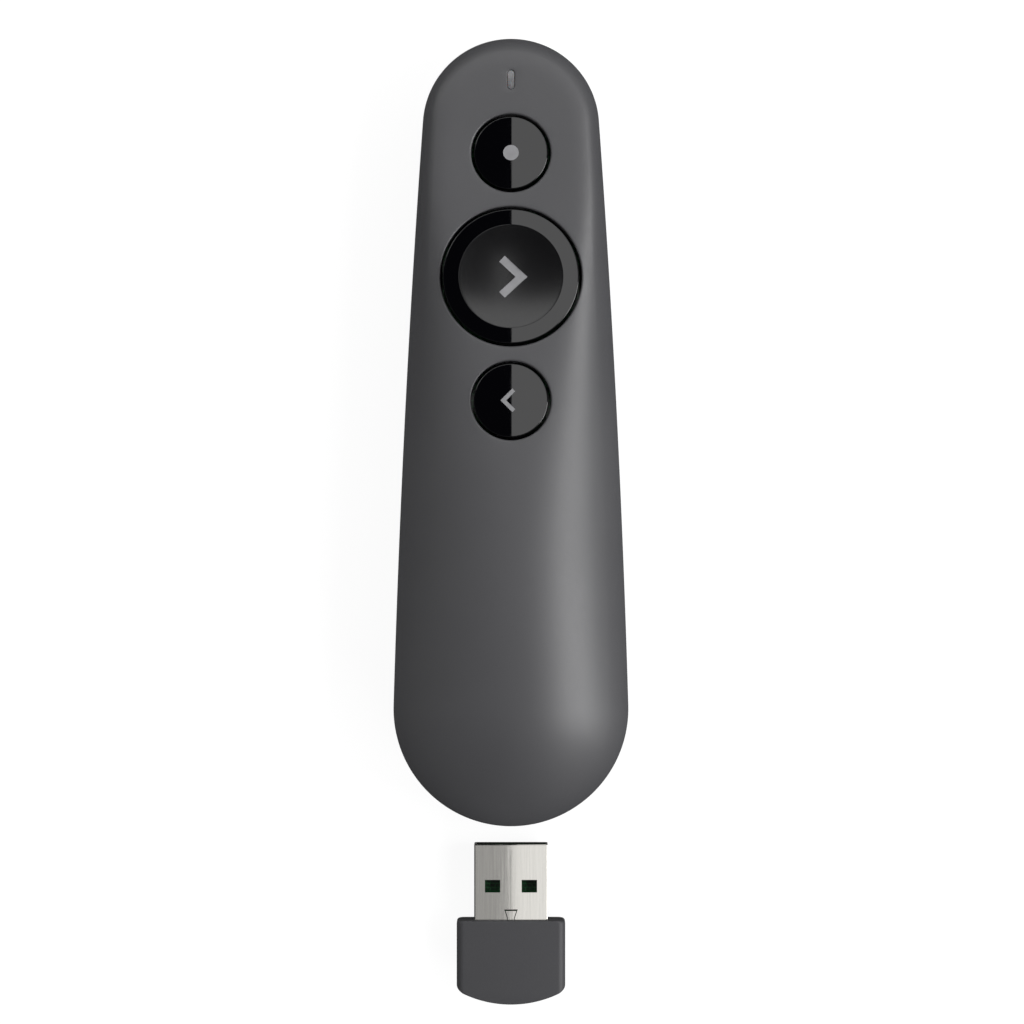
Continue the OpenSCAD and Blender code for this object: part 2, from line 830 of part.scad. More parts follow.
module laser_lens() {
    edge = 1;
    bulge = 0.8;
    color([0.8, 0.85, 0.9])
        along_y(barrel_front - lens_seat, laser_z)
            rotate_extrude()
                polygon(concat([[0, 0.1], [part_radius, 0.1], [part_radius, edge]],
                    [for (i = [1 : 6]) [part_radius * cos(i * 15), edge + bulge * sin(i * 15)]]));
}

module laser_window() {
    color([0.1, 0.1, 0.12])
        along_y(window_back, laser_z)
            cylinder(r = window_radius, h = window_thickness);
}

// ---------- Screws ----------

module case_screws() {
    face = 0.8;
    bevel = 0.4;
    cross_length = 2.2;
    cross_width = 0.44;
    cross_top = 1.5;
    color(steel)
        both_sides()
            for (place = screw_places)
                translate([place[0], place[1], 0])
                    difference() {
                        rotate_extrude()
                            polygon([
                                [0, face], [screw_head - bevel, face], [screw_head, face + bevel],
                                [screw_head, screw_seat], [screw_shank, screw_seat],
                                [screw_shank, screw_top - 1], [0, screw_top]]);
                        for (turn = [0, 90])
                            rotate([0, 0, turn])
                                translate([-cross_length / 2, -cross_width / 2, 0])
                                    cube([cross_length, cross_width, cross_top]);
                    }
}

module board_screws() {
    head = 1.4;
    thickness = 0.8;
    color(steel)
        both_sides()
            for (place = board_screw_places)
                on_deck(place[1])
                    translate([place[0], 0, board_bottom])
                        rotate_extrude()
                            polygon([
                                [0, -thickness], [head, -thickness], [head, 0],
                                [board_screw_radius, 0], [board_screw_radius, board_screw_length],
                                [0, board_screw_length + 0.4]]);
}

// ---------- Buttons ----------

// A cap as a cup with a stem, and two tabs that stop it behind the shell
module cap_body(radius, dished) {
    fillet = 0.35;
    inner = radius - cap_skirt;
    under = dished ? -cap_thickness - dish_depth : -cap_thickness;
    tab_length = cap_gap + tab_reach + cap_skirt;
    rotate_extrude()
        polygon(concat(
            [[0, stem_bottom], [stem_radius, stem_bottom], [stem_radius, under],
                [inner, under], [inner, tab_top - tab_thickness], [radius, tab_top - tab_thickness]],
            [for (i = [0 : 4])
                [radius - fillet + fillet * cos(i * 22.5), cap_rise - fillet + fillet * sin(i * 22.5)]],
            dished ? dish_profile() : [[0, cap_rise]]));
    for (side = [-1, 1])
        translate([0, side * (radius - cap_skirt + tab_length / 2), tab_top - tab_thickness / 2])
            cube([tab_width, tab_length, tab_thickness], center = true);
}

// The dish's arc, from its rim in to its middle
function dish_profile() =
    let (bend = (dish_radius * dish_radius + dish_depth * dish_depth) / (2 * dish_depth))
    [for (i = [8 : -1 : 0])
        let (x = dish_radius * i / 8)
        [x, cap_rise - dish_depth + bend - sqrt(bend * bend - x * x)]];

// A V of two strokes that points along +X, from the middle of its height
module chevron(height, stroke, lean, thickness) {
    arm = height / 2 / sin(lean);
    outer = [-arm * cos(lean), arm * sin(lean)];
    inner = [outer[0] - stroke * sin(lean), outer[1] - stroke * cos(lean)];
    linear_extrude(thickness)
        polygon([
            [0, 0], outer, inner, [-stroke / sin(lean), 0],
            [inner[0], -inner[1]], [outer[0], -outer[1]]]);
}

next_lean = 43;
back_lean = 45;
// Share of its height by which a chevron's point stands ahead of the middle
next_lead = 0.39;
back_lead = 0.44;

module laser_mark() {
    translate([0, 0, cap_rise - icon_depth])
        cylinder(r = dot_radius, h = 2);
}

module next_mark() {
    translate([next_icon_height * next_lead, 0, cap_rise - dish_depth - icon_depth])
        chevron(next_icon_height, next_icon_stroke, next_lean, 3);
}

module back_mark() {
    translate([-back_icon_height * back_lead, 0, cap_rise - icon_depth])
        mirror([1, 0, 0])
            chevron(back_icon_height, back_icon_stroke, back_lean, 2);
}

// A switch's actuator, from just above the bottom of its travel up to the stem
module plunger(y) {
    bottom = board_top + press_travel + 0.15;
    on_deck(y)
        translate([0, 0, bottom])
            cylinder(r = actuator_radius, h = stem_bottom - bottom);
}

module laser_button() {
    color(gloss_black)
        on_deck(laser_y)
            difference() {
                cap_body(small_radius, false);
                laser_mark();
            }
}

module laser_icon() {
    color(icon_grey)
        on_deck(laser_y)
            intersection() {
                cap_body(small_radius, false);
                laser_mark();
            }
}

module laser_plunger() {
    color("ivory")
        plunger(laser_y);
}

module next_button() {
    color(gloss_black)
        on_deck(next_y)
            difference() {
                cap_body(large_radius, true);
                next_mark();
            }
}

module next_icon() {
    color(icon_grey)
        on_deck(next_y)
            intersection() {
                cap_body(large_radius, true);
                next_mark();
            }
}

module next_plunger() {
    color("ivory")
        plunger(next_y);
}

module back_button() {
    color(gloss_black)
        on_deck(back_y)
            difference() {
                cap_body(small_radius, false);
                back_mark();
            }
}

module back_icon() {
    color(icon_grey)
        on_deck(back_y)
            intersection() {
                cap_body(small_radius, false);
                back_mark();
            }
}

module back_plunger() {
    color("ivory")
        plunger(back_y);
}

// ---------- Battery door ----------

// The door is the cut-out part of the bottom shell's skin, with a hinge barrel
module battery_door() {
    notch = hinge_y - hinge_radius - 1;
    grip_start = door_start + 2.4;
    grip_pitch = 1.3;
    grip_width = 0.6;
    grip_half = 5;
    grip_depth = 0.35;
    rib_half = 0.6;
    latch_half = 4;
    color(shell_grey) {
        difference() {
            union() {
                intersection() {
                    bottom_skin();
                    block([-door_half, door_start, -1], [door_half, door_end, bay_floor - 0.3]);
                }
                hinge_axis(hinge_radius, 2 * hinge_half);
                hinge_axis(hinge_pin, 2 * (hinge_half + door_gap + lug_width * 0.6));
            }
            both_sides()
                block([hinge_half + 0.01, notch, -1], [door_half + 1, door_end + 0.01, bay_floor]);
            for (i = [0 : 4])
                block([-grip_half, grip_start + i * grip_pitch, -1],
                    [grip_half, grip_start + i * grip_pitch + grip_width, grip_depth]);
        }
        for (x = [-cell_x, cell_x])
            block([x - rib_half, door_start + 8, wall - 0.2], [x + rib_half, hinge_y - 6, wall + door_rib]);
        block([-latch_half, door_start + 0.6, wall - 0.2], [latch_half, door_start + 1.8, wall + 1]);
    }
}

// ---------- Receiver ----------

// Radius of the housing's end about the tail's centre, at a height
function end_radius(height) = tail_radius - belly_inset(height) - end_play;

module receiver_housing() {
    corner = 1.2;
    room_length = 9.4;
    board_room = plug_width - 0.8;
    color(shell_grey)
        translate([0, -stow_travel, 0])
            difference() {
                intersection() {
                    translate([0, housing_front + stow_travel, housing_height / 2])
                        rotate([90, 0, 0])
                            round_plate(housing_width, housing_height, corner, housing_length + 1);
                    translate([0, tail_y, 0])
                        rotate_extrude($fn = 96)
                            polygon(concat([[0, -1]], [
                                for (i = [0 : 10])
                                let (height = housing_height * pow(i / 10, 2))
                                [end_radius(height), height]],
                                [[end_radius(housing_height), housing_height + 1], [0, housing_height + 1]]));
                }
                translate([0, stow_travel, 0]) {
                    block([-plug_width / 2 - plug_play, housing_front - plug_root - 0.1,
                            plug_z - plug_height / 2 - plug_play],
                        [plug_width / 2 + plug_play, housing_front + 1,
                            plug_z + plug_height / 2 + plug_play]);
                    block([-board_room / 2, housing_front - room_length, plug_z - 1.6],
                        [board_room / 2, housing_front, plug_z + 1.6]);
                }
            }
}

// Folded sheet shell of the plug, with two windows on each face and the dovetail
// of its seam on the upper one
module plug_shell() {
    fold = 0.5;
    color(steel)
        difference() {
            translate([0, housing_front + plug_length, plug_z])
                rotate([90, 0, 0])
                    round_plate(plug_width, plug_height, fold, plug_length + plug_root);
            block([-plug_width / 2 + plug_sheet, housing_front - plug_root - 1,
                    plug_z - plug_height / 2 + plug_sheet],
                [plug_width / 2 - plug_sheet, housing_front + plug_length + 1,
                    plug_z + plug_height / 2 - plug_sheet]);
            for (x = [-plug_window_x, plug_window_x])
                block([x - plug_window[0] / 2, plug_window_y - plug_window[1] / 2, 0],
                    [x + plug_window[0] / 2, plug_window_y + plug_window[1] / 2, housing_height]);
            translate([0, housing_front + 0.1, plug_z])
                linear_extrude(plug_height)
                    polygon([
                        [-0.35, 0], [0.35, 0], [1.05, 1.4], [0.75, 1.4],
                        [0, 0.45], [-0.75, 1.4], [-1.05, 1.4]]);
        }
}

// Inside the plug, from its lower face up: carrier, board and contacts
plug_inner = plug_width / 2 - plug_sheet - 0.05;
plug_floor = plug_z - plug_height / 2 + plug_sheet + 0.05;
carrier_height = 1.1;
tongue_board = 0.8;
tongue_top = plug_floor + carrier_height + tongue_board;

module plug_carrier() {
    color([0.1, 0.1, 0.1])
        block([-plug_inner, housing_front - 2.5, plug_floor],
            [plug_inner, housing_front + plug_length - 0.4, plug_floor + carrier_height]);
}

// Green board that is also the plug's tongue
module receiver_board() {
    color(board_green)
        block([-plug_inner + 0.2, housing_front - 8.8, plug_floor + carrier_height],
            [plug_inner - 0.2, housing_front + plug_length - 0.7, tongue_top]);
}

// Power contacts at the sides, which reach further forward than the data pair
module plug_contacts() {
    contact_half = 0.5;
    contact_start = plug_window_y + plug_window[1] / 2 + 0.25;
    color(gold)
        for (place = [[-3.5, 1.2], [-1, 2.2], [1, 2.2], [3.5, 1.2]])
            block([place[0] - contact_half, contact_start, tongue_top],
                [place[0] + contact_half, housing_front + plug_length - place[1], tongue_top + 0.1]);
}

// Radio chip and crystal, inside the housing
module receiver_parts() {
    chip_side = 4;
    chip_front = housing_front - 2.8;
    crystal = [2, 1.6, 0.7];
    color([0.12, 0.12, 0.13]) {
        translate([-chip_side / 2, chip_front - chip_side, tongue_top])
            cube([chip_side, chip_side, 0.9]);
        translate([chip_side / 2 + 0.8, housing_front - 5, tongue_top])
            cube(crystal);
    }
}

top_shell();
bottom_shell();
inner_frame();
main_board();
board_parts();
switch_cases();
status_led();
light_pipe();
laser_barrel();
laser_diode();
laser_lens();
laser_window();
cell_left();
cell_right();
cell_springs();
cell_contacts();
case_screws();
board_screws();
laser_button();
laser_icon();
laser_plunger();
next_button();
next_icon();
next_plunger();
back_button();
back_icon();
back_plunger();
battery_door();
receiver_housing();
plug_shell();
plug_carrier();
plug_contacts();
receiver_board();
receiver_parts();
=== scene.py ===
import json
import math

import bmesh
import bpy
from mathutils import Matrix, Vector
from mathutils.geometry import delaunay_2d_cdt

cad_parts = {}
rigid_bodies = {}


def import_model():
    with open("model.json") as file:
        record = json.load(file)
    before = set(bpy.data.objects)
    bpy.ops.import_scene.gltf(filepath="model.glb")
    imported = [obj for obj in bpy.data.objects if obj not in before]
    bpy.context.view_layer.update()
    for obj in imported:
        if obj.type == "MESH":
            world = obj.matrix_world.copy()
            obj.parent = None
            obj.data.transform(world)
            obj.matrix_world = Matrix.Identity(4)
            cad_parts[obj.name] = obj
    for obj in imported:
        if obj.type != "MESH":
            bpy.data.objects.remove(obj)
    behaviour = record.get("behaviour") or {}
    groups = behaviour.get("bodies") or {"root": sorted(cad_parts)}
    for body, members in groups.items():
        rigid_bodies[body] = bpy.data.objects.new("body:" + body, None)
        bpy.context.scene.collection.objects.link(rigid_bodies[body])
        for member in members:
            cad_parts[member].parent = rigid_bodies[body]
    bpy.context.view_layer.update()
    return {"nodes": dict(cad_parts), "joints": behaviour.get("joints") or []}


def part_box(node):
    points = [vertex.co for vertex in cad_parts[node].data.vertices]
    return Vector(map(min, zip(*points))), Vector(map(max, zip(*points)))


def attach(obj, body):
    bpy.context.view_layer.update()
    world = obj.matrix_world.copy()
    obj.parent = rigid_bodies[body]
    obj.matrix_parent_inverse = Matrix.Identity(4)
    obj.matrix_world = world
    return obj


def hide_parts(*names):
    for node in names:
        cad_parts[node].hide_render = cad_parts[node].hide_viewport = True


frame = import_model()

mm = 0.001
nodes = frame["nodes"]
objects = bpy.context.scene.collection.objects


# ---- nodes of materials and trees ----

def toLinear(hexColour):
    # sRGB hex to the linear colour that a shader socket takes
    parts = [int(hexColour[i:i + 2], 16) / 255 for i in (1, 3, 5)]
    return tuple(c / 12.92 if c <= 0.04045 else ((c + 0.055) / 1.055) ** 2.4 for c in parts) + (1.0,)


def addNode(tree, kind, inputs=None, **settings):
    # a short kind is a shader node; an input that is a node or a socket is linked, any other is set
    node = tree.nodes.new(kind if "Node" in kind else "ShaderNode" + kind)
    for name, value in settings.items():
        setattr(node, name, value)
    for name, value in (inputs or {}).items():
        if isinstance(value, bpy.types.Node):
            value = value.outputs[0]
        if isinstance(value, bpy.types.NodeSocket):
            tree.links.new(value, node.inputs[name])
        else:
            node.inputs[name].default_value = toLinear(value) if isinstance(value, str) else value
    return node


def emptyTree(block):
    block.use_nodes = True
    block.node_tree.nodes.clear()
    return block.node_tree


def geometryTree(name, **inputs):
    # a tree with named inputs, listed by their kind, and the sockets that bring them in
    tree = bpy.data.node_groups.new(name, "GeometryNodeTree")
    tree.interface.new_socket("Geometry", in_out="OUTPUT", socket_type="NodeSocketGeometry")
    for kind, labels in {"Geometry": "Geometry", **inputs}.items():
        for label in labels.split(", "):
            tree.interface.new_socket(label, in_out="INPUT", socket_type="NodeSocket" + kind)
    return tree, addNode(tree, "NodeGroupInput").outputs


def endTree(tree, shape, *finishes):
    # the shape is made real and takes each finish where it is chosen
    shape = addNode(tree, "GeometryNodeRealizeInstances", {"Geometry": shape})
    for material, chosen in finishes:
        shape = addNode(tree, "GeometryNodeSetMaterial",
                        {"Geometry": shape, "Material": material, "Selection": chosen})
    addNode(tree, "NodeGroupOutput", {"Geometry": shape})
    return tree


# ---- shapes and pieces ----

def mix(a, b, t):
    return a + (b - a) * t


def ease(t):
    t = max(0.0, min(1.0, t))
    return t * t * (3 - 2 * t)


def angles(count):
    return [2 * math.pi * i / count for i in range(count)]


def arc(cx, cy, radius, start, end, count):
    # points of a round from one angle to another, both ends included
    return [(cx + radius * math.cos(angle), cy + radius * math.sin(angle))
            for angle in (mix(start, end, i / count) for i in range(count + 1))]


def joined(*parts):
    # one list of points and faces from several
    points, faces = [], []
    for partPoints, partFaces in parts:
        start = len(points)
        points += list(partPoints)
        faces += [tuple(i + start for i in face) for face in partFaces]
    return points, faces


def moved(part, place):
    return [place(p) for p in part[0]], part[1]


def shifted(part, x, y):
    return moved(part, lambda p: (p[0] + x, p[1] + y, p[2]))


def bands(rings, ends=False):
    # faces between closed rings of equally many points, and over both ends of the stack
    points, count = [p for r in rings for p in r], len(rings[0])
    faces = [tuple(reversed(range(count))), tuple(range(len(points) - count, len(points)))] if ends else []
    for a in range(0, len(points) - count, count):
        b = a + count
        faces += [(a + i, a + (i + 1) % count, b + (i + 1) % count, b + i) for i in range(count)]
    return points, faces


def tiers(*levels):
    # a block through level rectangles of (low x, low y, high x, high y, z), from the lowest up
    return bands([[(ax, ay, z), (bx, ay, z), (bx, by, z), (ax, by, z)] for ax, ay, bx, by, z in levels], True)


def box(low, high):
    (ax, ay, az), (bx, by, bz) = low, high
    return tiers((ax, ay, bx, by, az), (ax, ay, bx, by, bz))


def lathe(profile, count=64):
    # (radius, height) pairs turned about Z; a radius of 0 closes the shape there
    points, rows, faces = [], [], []
    for radius, height in profile:
        if radius < 1e-6:
            rows.append([len(points)] * count)
            points.append((0.0, 0.0, height))
        else:
            rows.append(list(range(len(points), len(points) + count)))
            points += [(radius * math.cos(a), radius * math.sin(a), height) for a in angles(count)]
    for low, high in zip(rows, rows[1:]):
        for i in range(count):
            j = (i + 1) % count
            corners = [low[i], low[j], high[j], high[i]]
            face = [c for k, c in enumerate(corners) if c not in corners[:k]]
            if len(face) > 2:
                faces.append(tuple(face))
    return points, faces


def tube(inner, outer, low, high):
    return lathe([(inner, low), (outer, low), (outer, high), (inner, high), (inner, low)], 32)


def rodAlongY(radius, low, high, z):
    return moved(lathe([(0, 0), (radius, 0), (radius, high - low), (0, high - low)], 48),
                 lambda p: (p[0], low + p[2], z - p[1]))


def rodAlongX(radius, low, high, y, z, count=48, end=0.0):
    long = high - low
    profile = [(0, 0), (radius - end, 0), (radius, end), (radius, long - end), (radius - end, long), (0, long)]
    return moved(lathe(profile, count), lambda p: (low + p[2], y + p[0], z + p[1]))


def filled(outline, inner, extra, keep):
    # triangles between an outline, the loops inside it and loose points, all in plan
    points, edges = [], []
    for loop in [outline] + inner:
        start = len(points)
        points += [Vector((x, y)) for x, y in loop]
        edges += [(start + i, start + (i + 1) % len(loop)) for i in range(len(loop))]
    points += [Vector(p) for p in extra]
    out = delaunay_2d_cdt(points, edges, [], 0, 1e-6)
    order = [source[0] for source in out[3]]
    faces = []
    for face in out[2]:
        middle = sum((out[0][i] for i in face), Vector((0, 0))) / len(face)
        if keep(middle.x, middle.y):
            faces.append(tuple(order[i] for i in face))
    return faces


def smooth(piece, angle):
    piece.data.shade_smooth()
    piece.data.set_sharp_from_angle(angle=math.radians(angle))
    return piece


def linkMesh(name, mesh, materials=(), angle=35):
    for material in materials:
        mesh.materials.append(material)
    piece = bpy.data.objects.new(name, mesh)
    objects.link(piece)
    return smooth(piece, angle)


def pieceFrom(name, points, faces, materials=(), angle=35):
    # points in mm, in the row frame
    mesh = bpy.data.meshes.new(name)
    mesh.from_pydata([(x * mm, y * mm, z * mm) for x, y, z in points], [], faces)
    return linkMesh(name, mesh, materials, angle)


def rework(mesh, change):
    work = bmesh.new()
    work.from_mesh(mesh)
    change(work)
    work.to_mesh(mesh)
    work.free()


def faceOutwards(work):
    bmesh.ops.recalc_face_normals(work, faces=work.faces)


def closeSlivers(work):
    reach = 0.0015 * mm
    bmesh.ops.remove_doubles(work, verts=work.verts, dist=reach)
    bmesh.ops.dissolve_degenerate(work, dist=reach, edges=work.edges)


def absorb(piece, other):
    # the other piece's mesh goes into the first, and the other is gone
    rework(piece.data, lambda work: work.from_mesh(other.data))
    bpy.data.objects.remove(other)


def plainMesh(piece):
    # what the modifiers make of a piece, as a mesh of its own with none left
    bpy.context.view_layer.update()
    graph = bpy.context.evaluated_depsgraph_get()
    mesh = bpy.data.meshes.new_from_object(piece.evaluated_get(graph), depsgraph=graph)
    piece.modifiers.clear()
    piece.data = mesh
    return mesh


def carve(piece, operation, parts):
    # exact booleans with closed shapes in mm, and the slivers that they leave closed up
    helpers = []
    for part in parts:
        helper = pieceFrom("helper", *part)
        rework(helper.data, faceOutwards)
        cut = piece.modifiers.new("cut", "BOOLEAN")
        cut.operation, cut.solver, cut.object = operation, "EXACT", helper
        helpers.append(helper)
    rework(plainMesh(piece), closeSlivers)
    for helper in helpers:
        bpy.data.objects.remove(helper)


def softened(piece, width, segments=2, angle=35):
    # a fine round on every edge, as a mould or a tumbling drum leaves it
    bevel = piece.modifiers.new("edges", "BEVEL")
    bevel.width, bevel.segments, bevel.limit_method = width * mm, segments, "ANGLE"
    bevel.angle_limit = math.radians(angle)
    plainMesh(piece)
    return smooth(piece, 40)


def settle(piece, body, slot, *replaced):
    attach(piece, body)
    if replaced:
        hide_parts(*replaced)


def finishedCopy(body, slot, node, material, width, segments=2):
    # a copy of a CAD node with its doubles merged and its edges rounded by width, in mm, in its place
    def clean(work):
        bmesh.ops.remove_doubles(work, verts=work.verts, dist=2e-6)
        bmesh.ops.dissolve_limit(work, angle_limit=math.radians(1), verts=work.verts, edges=work.edges)

    first, *rest = node.split("_")
    name = first + "".join(part.capitalize() for part in rest)
    mesh = nodes[node].data.copy()
    rework(mesh, clean)
    mesh.materials.clear()
    mesh.name = name
    settle(softened(linkMesh(name, mesh, [material]), width, segments), body, slot, node)


def growPiece(name, tree, values, start=None):
    # runs a tree on a piece with its inputs set, and keeps the plain mesh
    piece = bpy.data.objects.new(name, start or bpy.data.meshes.new(name))
    objects.link(piece)
    grow = piece.modifiers.new("grow", "NODES")
    grow.node_group = tree
    for item in tree.interface.items_tree:
        if item.in_out == "INPUT" and item.name in values:
            grow[item.identifier] = values[item.name]
    piece.update_tag()
    mesh = plainMesh(piece)
    mesh.name = name
    # only the materials that faces use stay
    places = [face.material_index for face in mesh.polygons]
    used = sorted(set(places))
    kept = [mesh.materials[i] for i in used]
    mesh.materials.clear()
    for material in kept:
        mesh.materials.append(material)
    mesh.polygons.foreach_set("material_index", [used.index(place) for place in places])
    return piece


# ---- camera, light and floor ----

studio = {
    "cameraHeight": 0.66,      # metres above the floor, straight over the pair
    "cameraPlace": (0.00017, 0.0019),
    "frameWidth": 0.1652,      # metres seen at the height of the case's rim
    "rimHeight": 0.013,
    # how strongly the room fills the shadows from each end, each side, the horizon and overhead
    "tailFill": 0.25, "headFill": 1.3, "leftFill": 1.7, "rightFill": 2.2,
    "horizonFill": 2.3, "ceilingFill": 0.05,
    # how bright gloss sees the walls on each side, and what share of that at their foot and top
    "leftWall": 0.14, "rightWall": 0.4, "wallFoot": 0.1, "wallTop": 0.004,
    "floorColour": "#F4F4F4", "floorGlow": 0.9, "floorBounce": 0.22, "floorMirrored": 0.08,
    # softboxes: centre, size and radiance
    "cards": {
        "capCard": ((0.06, 0.4, 1.25), (0.12, 0.4), 1.8),
        "headCard": ((0, 1.08, 1.25), (2.6, 0.86), 2.0),
        "plugCardRight": ((0.04, -0.173, 1.25), (0.08, 0.11), 1.25),
        "plugCardLeft": ((-0.04, -0.173, 1.25), (0.08, 0.11), 0.5),
        "sideBox": ((1.27, -0.11, 1.07), (0.86, 0.95), 10.4),
        "tailCard": ((1.0, -1.15, 0.9), (0.9, 0.7), 8.5),
        "leftCard": ((-1.15, 0.95, 0.55), (0.5, 0.5), 3.0),
    },
    "aimed": ("sideBox", "tailCard", "leftCard"),     # the others shine straight down
    "fillOnly": ("tailCard",),                        # no white patch of it in the caps
}

camera = bpy.data.objects.new("camera", bpy.data.cameras.new("camera"))
objects.link(camera)
camera.location = (*studio["cameraPlace"], studio["cameraHeight"])
camera.data.sensor_width = 36
camera.data.lens = 36 * (studio["cameraHeight"] - studio["rimHeight"]) / studio["frameWidth"]
camera.data.clip_start, camera.data.clip_end = 0.01, 20
bpy.context.scene.camera = camera
bpy.context.scene.view_settings.view_transform = "Standard"

# the cap card ends over the middle line, so polished caps show an edge there
for name, (place, size, radiance) in studio["cards"].items():
    lamp = bpy.data.objects.new(name, bpy.data.lights.new(name, "AREA"))
    lamp.data.shape = "RECTANGLE"
    lamp.data.size, lamp.data.size_y = size
    lamp.data.energy = radiance * math.pi * size[0] * size[1]
    lamp.location = place
    if name in studio["aimed"]:
        lamp.rotation_euler = (-Vector(place)).to_track_quat("-Z", "Y").to_euler()
    lamp.visible_camera = False
    lamp.visible_glossy = name not in studio["fillOnly"]
    objects.link(lamp)


def makeWorld():
    world = bpy.data.worlds.new("studio")
    bpy.context.scene.world = world
    tree = emptyTree(world)
    way = addNode(tree, "SeparateXYZ", {"Vector": addNode(tree, "TexCoord").outputs["Generated"]}).outputs
    path = addNode(tree, "LightPath").outputs
    # each line: a direction's axis, where along it a change starts and ends, and how strong both are
    reaches = (
        # the room fills the shadows more from its sides and the head's end than from overhead
        (("Y", -0.8, 0.8, studio["tailFill"], studio["headFill"]), ("X", -0.9, 0.1, studio["leftFill"], 1.0),
         ("X", 0.2, 0.9, 1.0, studio["rightFill"]), ("Z", 0.0, 1.0, studio["horizonFill"], studio["ceilingFill"])),
        # gloss sees pale walls, paler on the right and dark at their foot, and a black ceiling
        (("X", -0.5, 0.5, studio["leftWall"], studio["rightWall"]), ("Z", 0.0, 0.3, studio["wallFoot"], 1.0),
         ("Z", 0.3, 0.78, 1.0, studio["wallTop"])),
        ())
    shades = []
    for reach in reaches:
        strength = 1.0
        for axis, start, end, low, high in reach:
            part = addNode(tree, "MapRange", {0: way[axis], 1: start, 2: end, 3: low, 4: high})
            strength = addNode(tree, "Math", {0: strength, 1: part}, operation="MULTIPLY")
        shades.append(addNode(tree, "Background", {"Color": "#FFFFFF", "Strength": strength}))
    lit = addNode(tree, "MixShader", {0: path["Is Glossy Ray"], 1: shades[0], 2: shades[1]})
    direct = addNode(tree, "Math", {0: path["Is Camera Ray"], 1: path["Is Transmission Ray"]}, operation="MAXIMUM")
    seen = addNode(tree, "MixShader", {0: direct, 1: lit, 2: shades[2]})
    addNode(tree, "OutputWorld", {"Surface": seen})


def makeFloor():
    mesh = bpy.data.meshes.new("floor")
    mesh.from_pydata([(-3, -3, 0), (3, -3, 0), (3, 3, 0), (-3, 3, 0)], [], [(0, 1, 2, 3)])
    paper = bpy.data.materials.new("paleFloor")
    tree = emptyTree(paper)
    path = addNode(tree, "LightPath").outputs
    # the camera sees near white with the object's shadow kept in it, and its bounce is even
    shown = addNode(tree, "MixShader", {0: studio["floorGlow"], 2: addNode(tree, "Emission", {"Strength": 1.0}),
                                        1: addNode(tree, "BsdfDiffuse", {"Color": studio["floorColour"]})})
    even = addNode(tree, "MapRange", {0: path["Is Glossy Ray"], 3: studio["floorBounce"],
                                      4: studio["floorMirrored"]})
    direct = addNode(tree, "Math", {0: path["Is Camera Ray"], 1: path["Is Transmission Ray"]}, operation="MAXIMUM")
    front = addNode(tree, "MixShader", {0: direct, 1: addNode(tree, "Emission", {"Strength": even}), 2: shown})
    whole = addNode(tree, "MixShader", {0: addNode(tree, "NewGeometry").outputs["Backfacing"], 1: front,
                                        2: addNode(tree, "BsdfTransparent")})
    addNode(tree, "OutputMaterial", {"Surface": whole})
    mesh.materials.append(paper)
    floor = bpy.data.objects.new("floor", mesh)
    objects.link(floor)


makeWorld()
makeFloor()
print("stage: camera,", len(studio["cards"]), "soft boxes, floor")


# ---- finishes ----

def startMaterial(name):
    material = bpy.data.materials.new(name)
    tree = emptyTree(material)
    return material, tree, addNode(tree, "TexCoord").outputs["Object"]


def endMaterial(material, colour, dull, relief=None, surface=None):
    # dull is a number, or a pattern with its start and end and the roughness at both;
    # relief is a pattern with its strength and its depth in mm
    tree = material.node_tree
    given = {"Base Color": colour, "Roughness": dull, **(surface or {})}
    if isinstance(dull, tuple):
        given["Roughness"] = addNode(tree, "MapRange", dict(enumerate(dull)))
    if relief:
        height, strength, depth = relief
        given["Normal"] = addNode(tree, "Bump", {"Height": height, "Strength": strength, "Distance": depth * mm})
    addNode(tree, "OutputMaterial", {"Surface": addNode(tree, "BsdfPrincipled", given)})
    return material


def tinted(node, *stops):
    # (place, hex colour) for both stops of a colour ramp
    for element, (place, colour) in zip(node.color_ramp.elements, stops):
        element.position = place
        element.color = toLinear(colour)
    return node


def grained(name, grain, colours, dull, relief=None, surface=None, detail=3.0, contrast=0.5,
            stretch=None, turn=0.0, cloud=None):
    # a noise of grain mm, which may be stretched, shifts the colour between two, the gloss and the
    # skin's relief; with cloud, in mm, a noise of its own shifts the colour
    material, tree, where = startMaterial(name)
    place = where
    if stretch:
        place = addNode(tree, "Mapping", {"Vector": where, "Scale": stretch, "Rotation": (0, 0, turn)})
    noise = addNode(tree, "TexNoise", {"Vector": place, "Scale": 1 / (grain * mm), "Detail": detail,
                                       "Roughness": contrast})
    if not isinstance(colours, str):
        clouds = noise
        if cloud:
            clouds = addNode(tree, "TexNoise", {"Vector": where, "Scale": 1 / (cloud * mm), "Detail": 2.0})
        colours = tinted(addNode(tree, "ValToRGB", {"Fac": clouds}), *colours)
    return endMaterial(material, colours, (noise, *dull) if isinstance(dull, tuple) else dull,
                       relief and (noise, *relief), surface)


absLook = {"IOR": 1.53}
metalLook = {"Metallic": 1.0}


def mouldedAbs(name, colour, fleck, grain, depth, roughness):
    # ABS from a spark-eroded mould: dry and even, with a fine grain that breaks up the shine
    # and a faint cloudiness where the melt flowed; grain and depth are in mm
    return grained(name, grain, ((0.35, colour), (0.7, fleck)), (0.3, 0.7, roughness - 0.05, roughness + 0.06),
                   (0.35, depth), absLook, contrast=0.6, cloud=18)


def platedSheet(name, colour, shade, roughness, line, stretch):
    # nickel-plated sheet or wire: bright, with fine rolling lines, line mm apart, along the strip
    return grained(name, line, ((0.3, shade), (0.7, colour)), (0.3, 0.7, roughness, roughness * 1.6),
                   (0.05, 0.01), metalLook, detail=4.0, stretch=stretch)


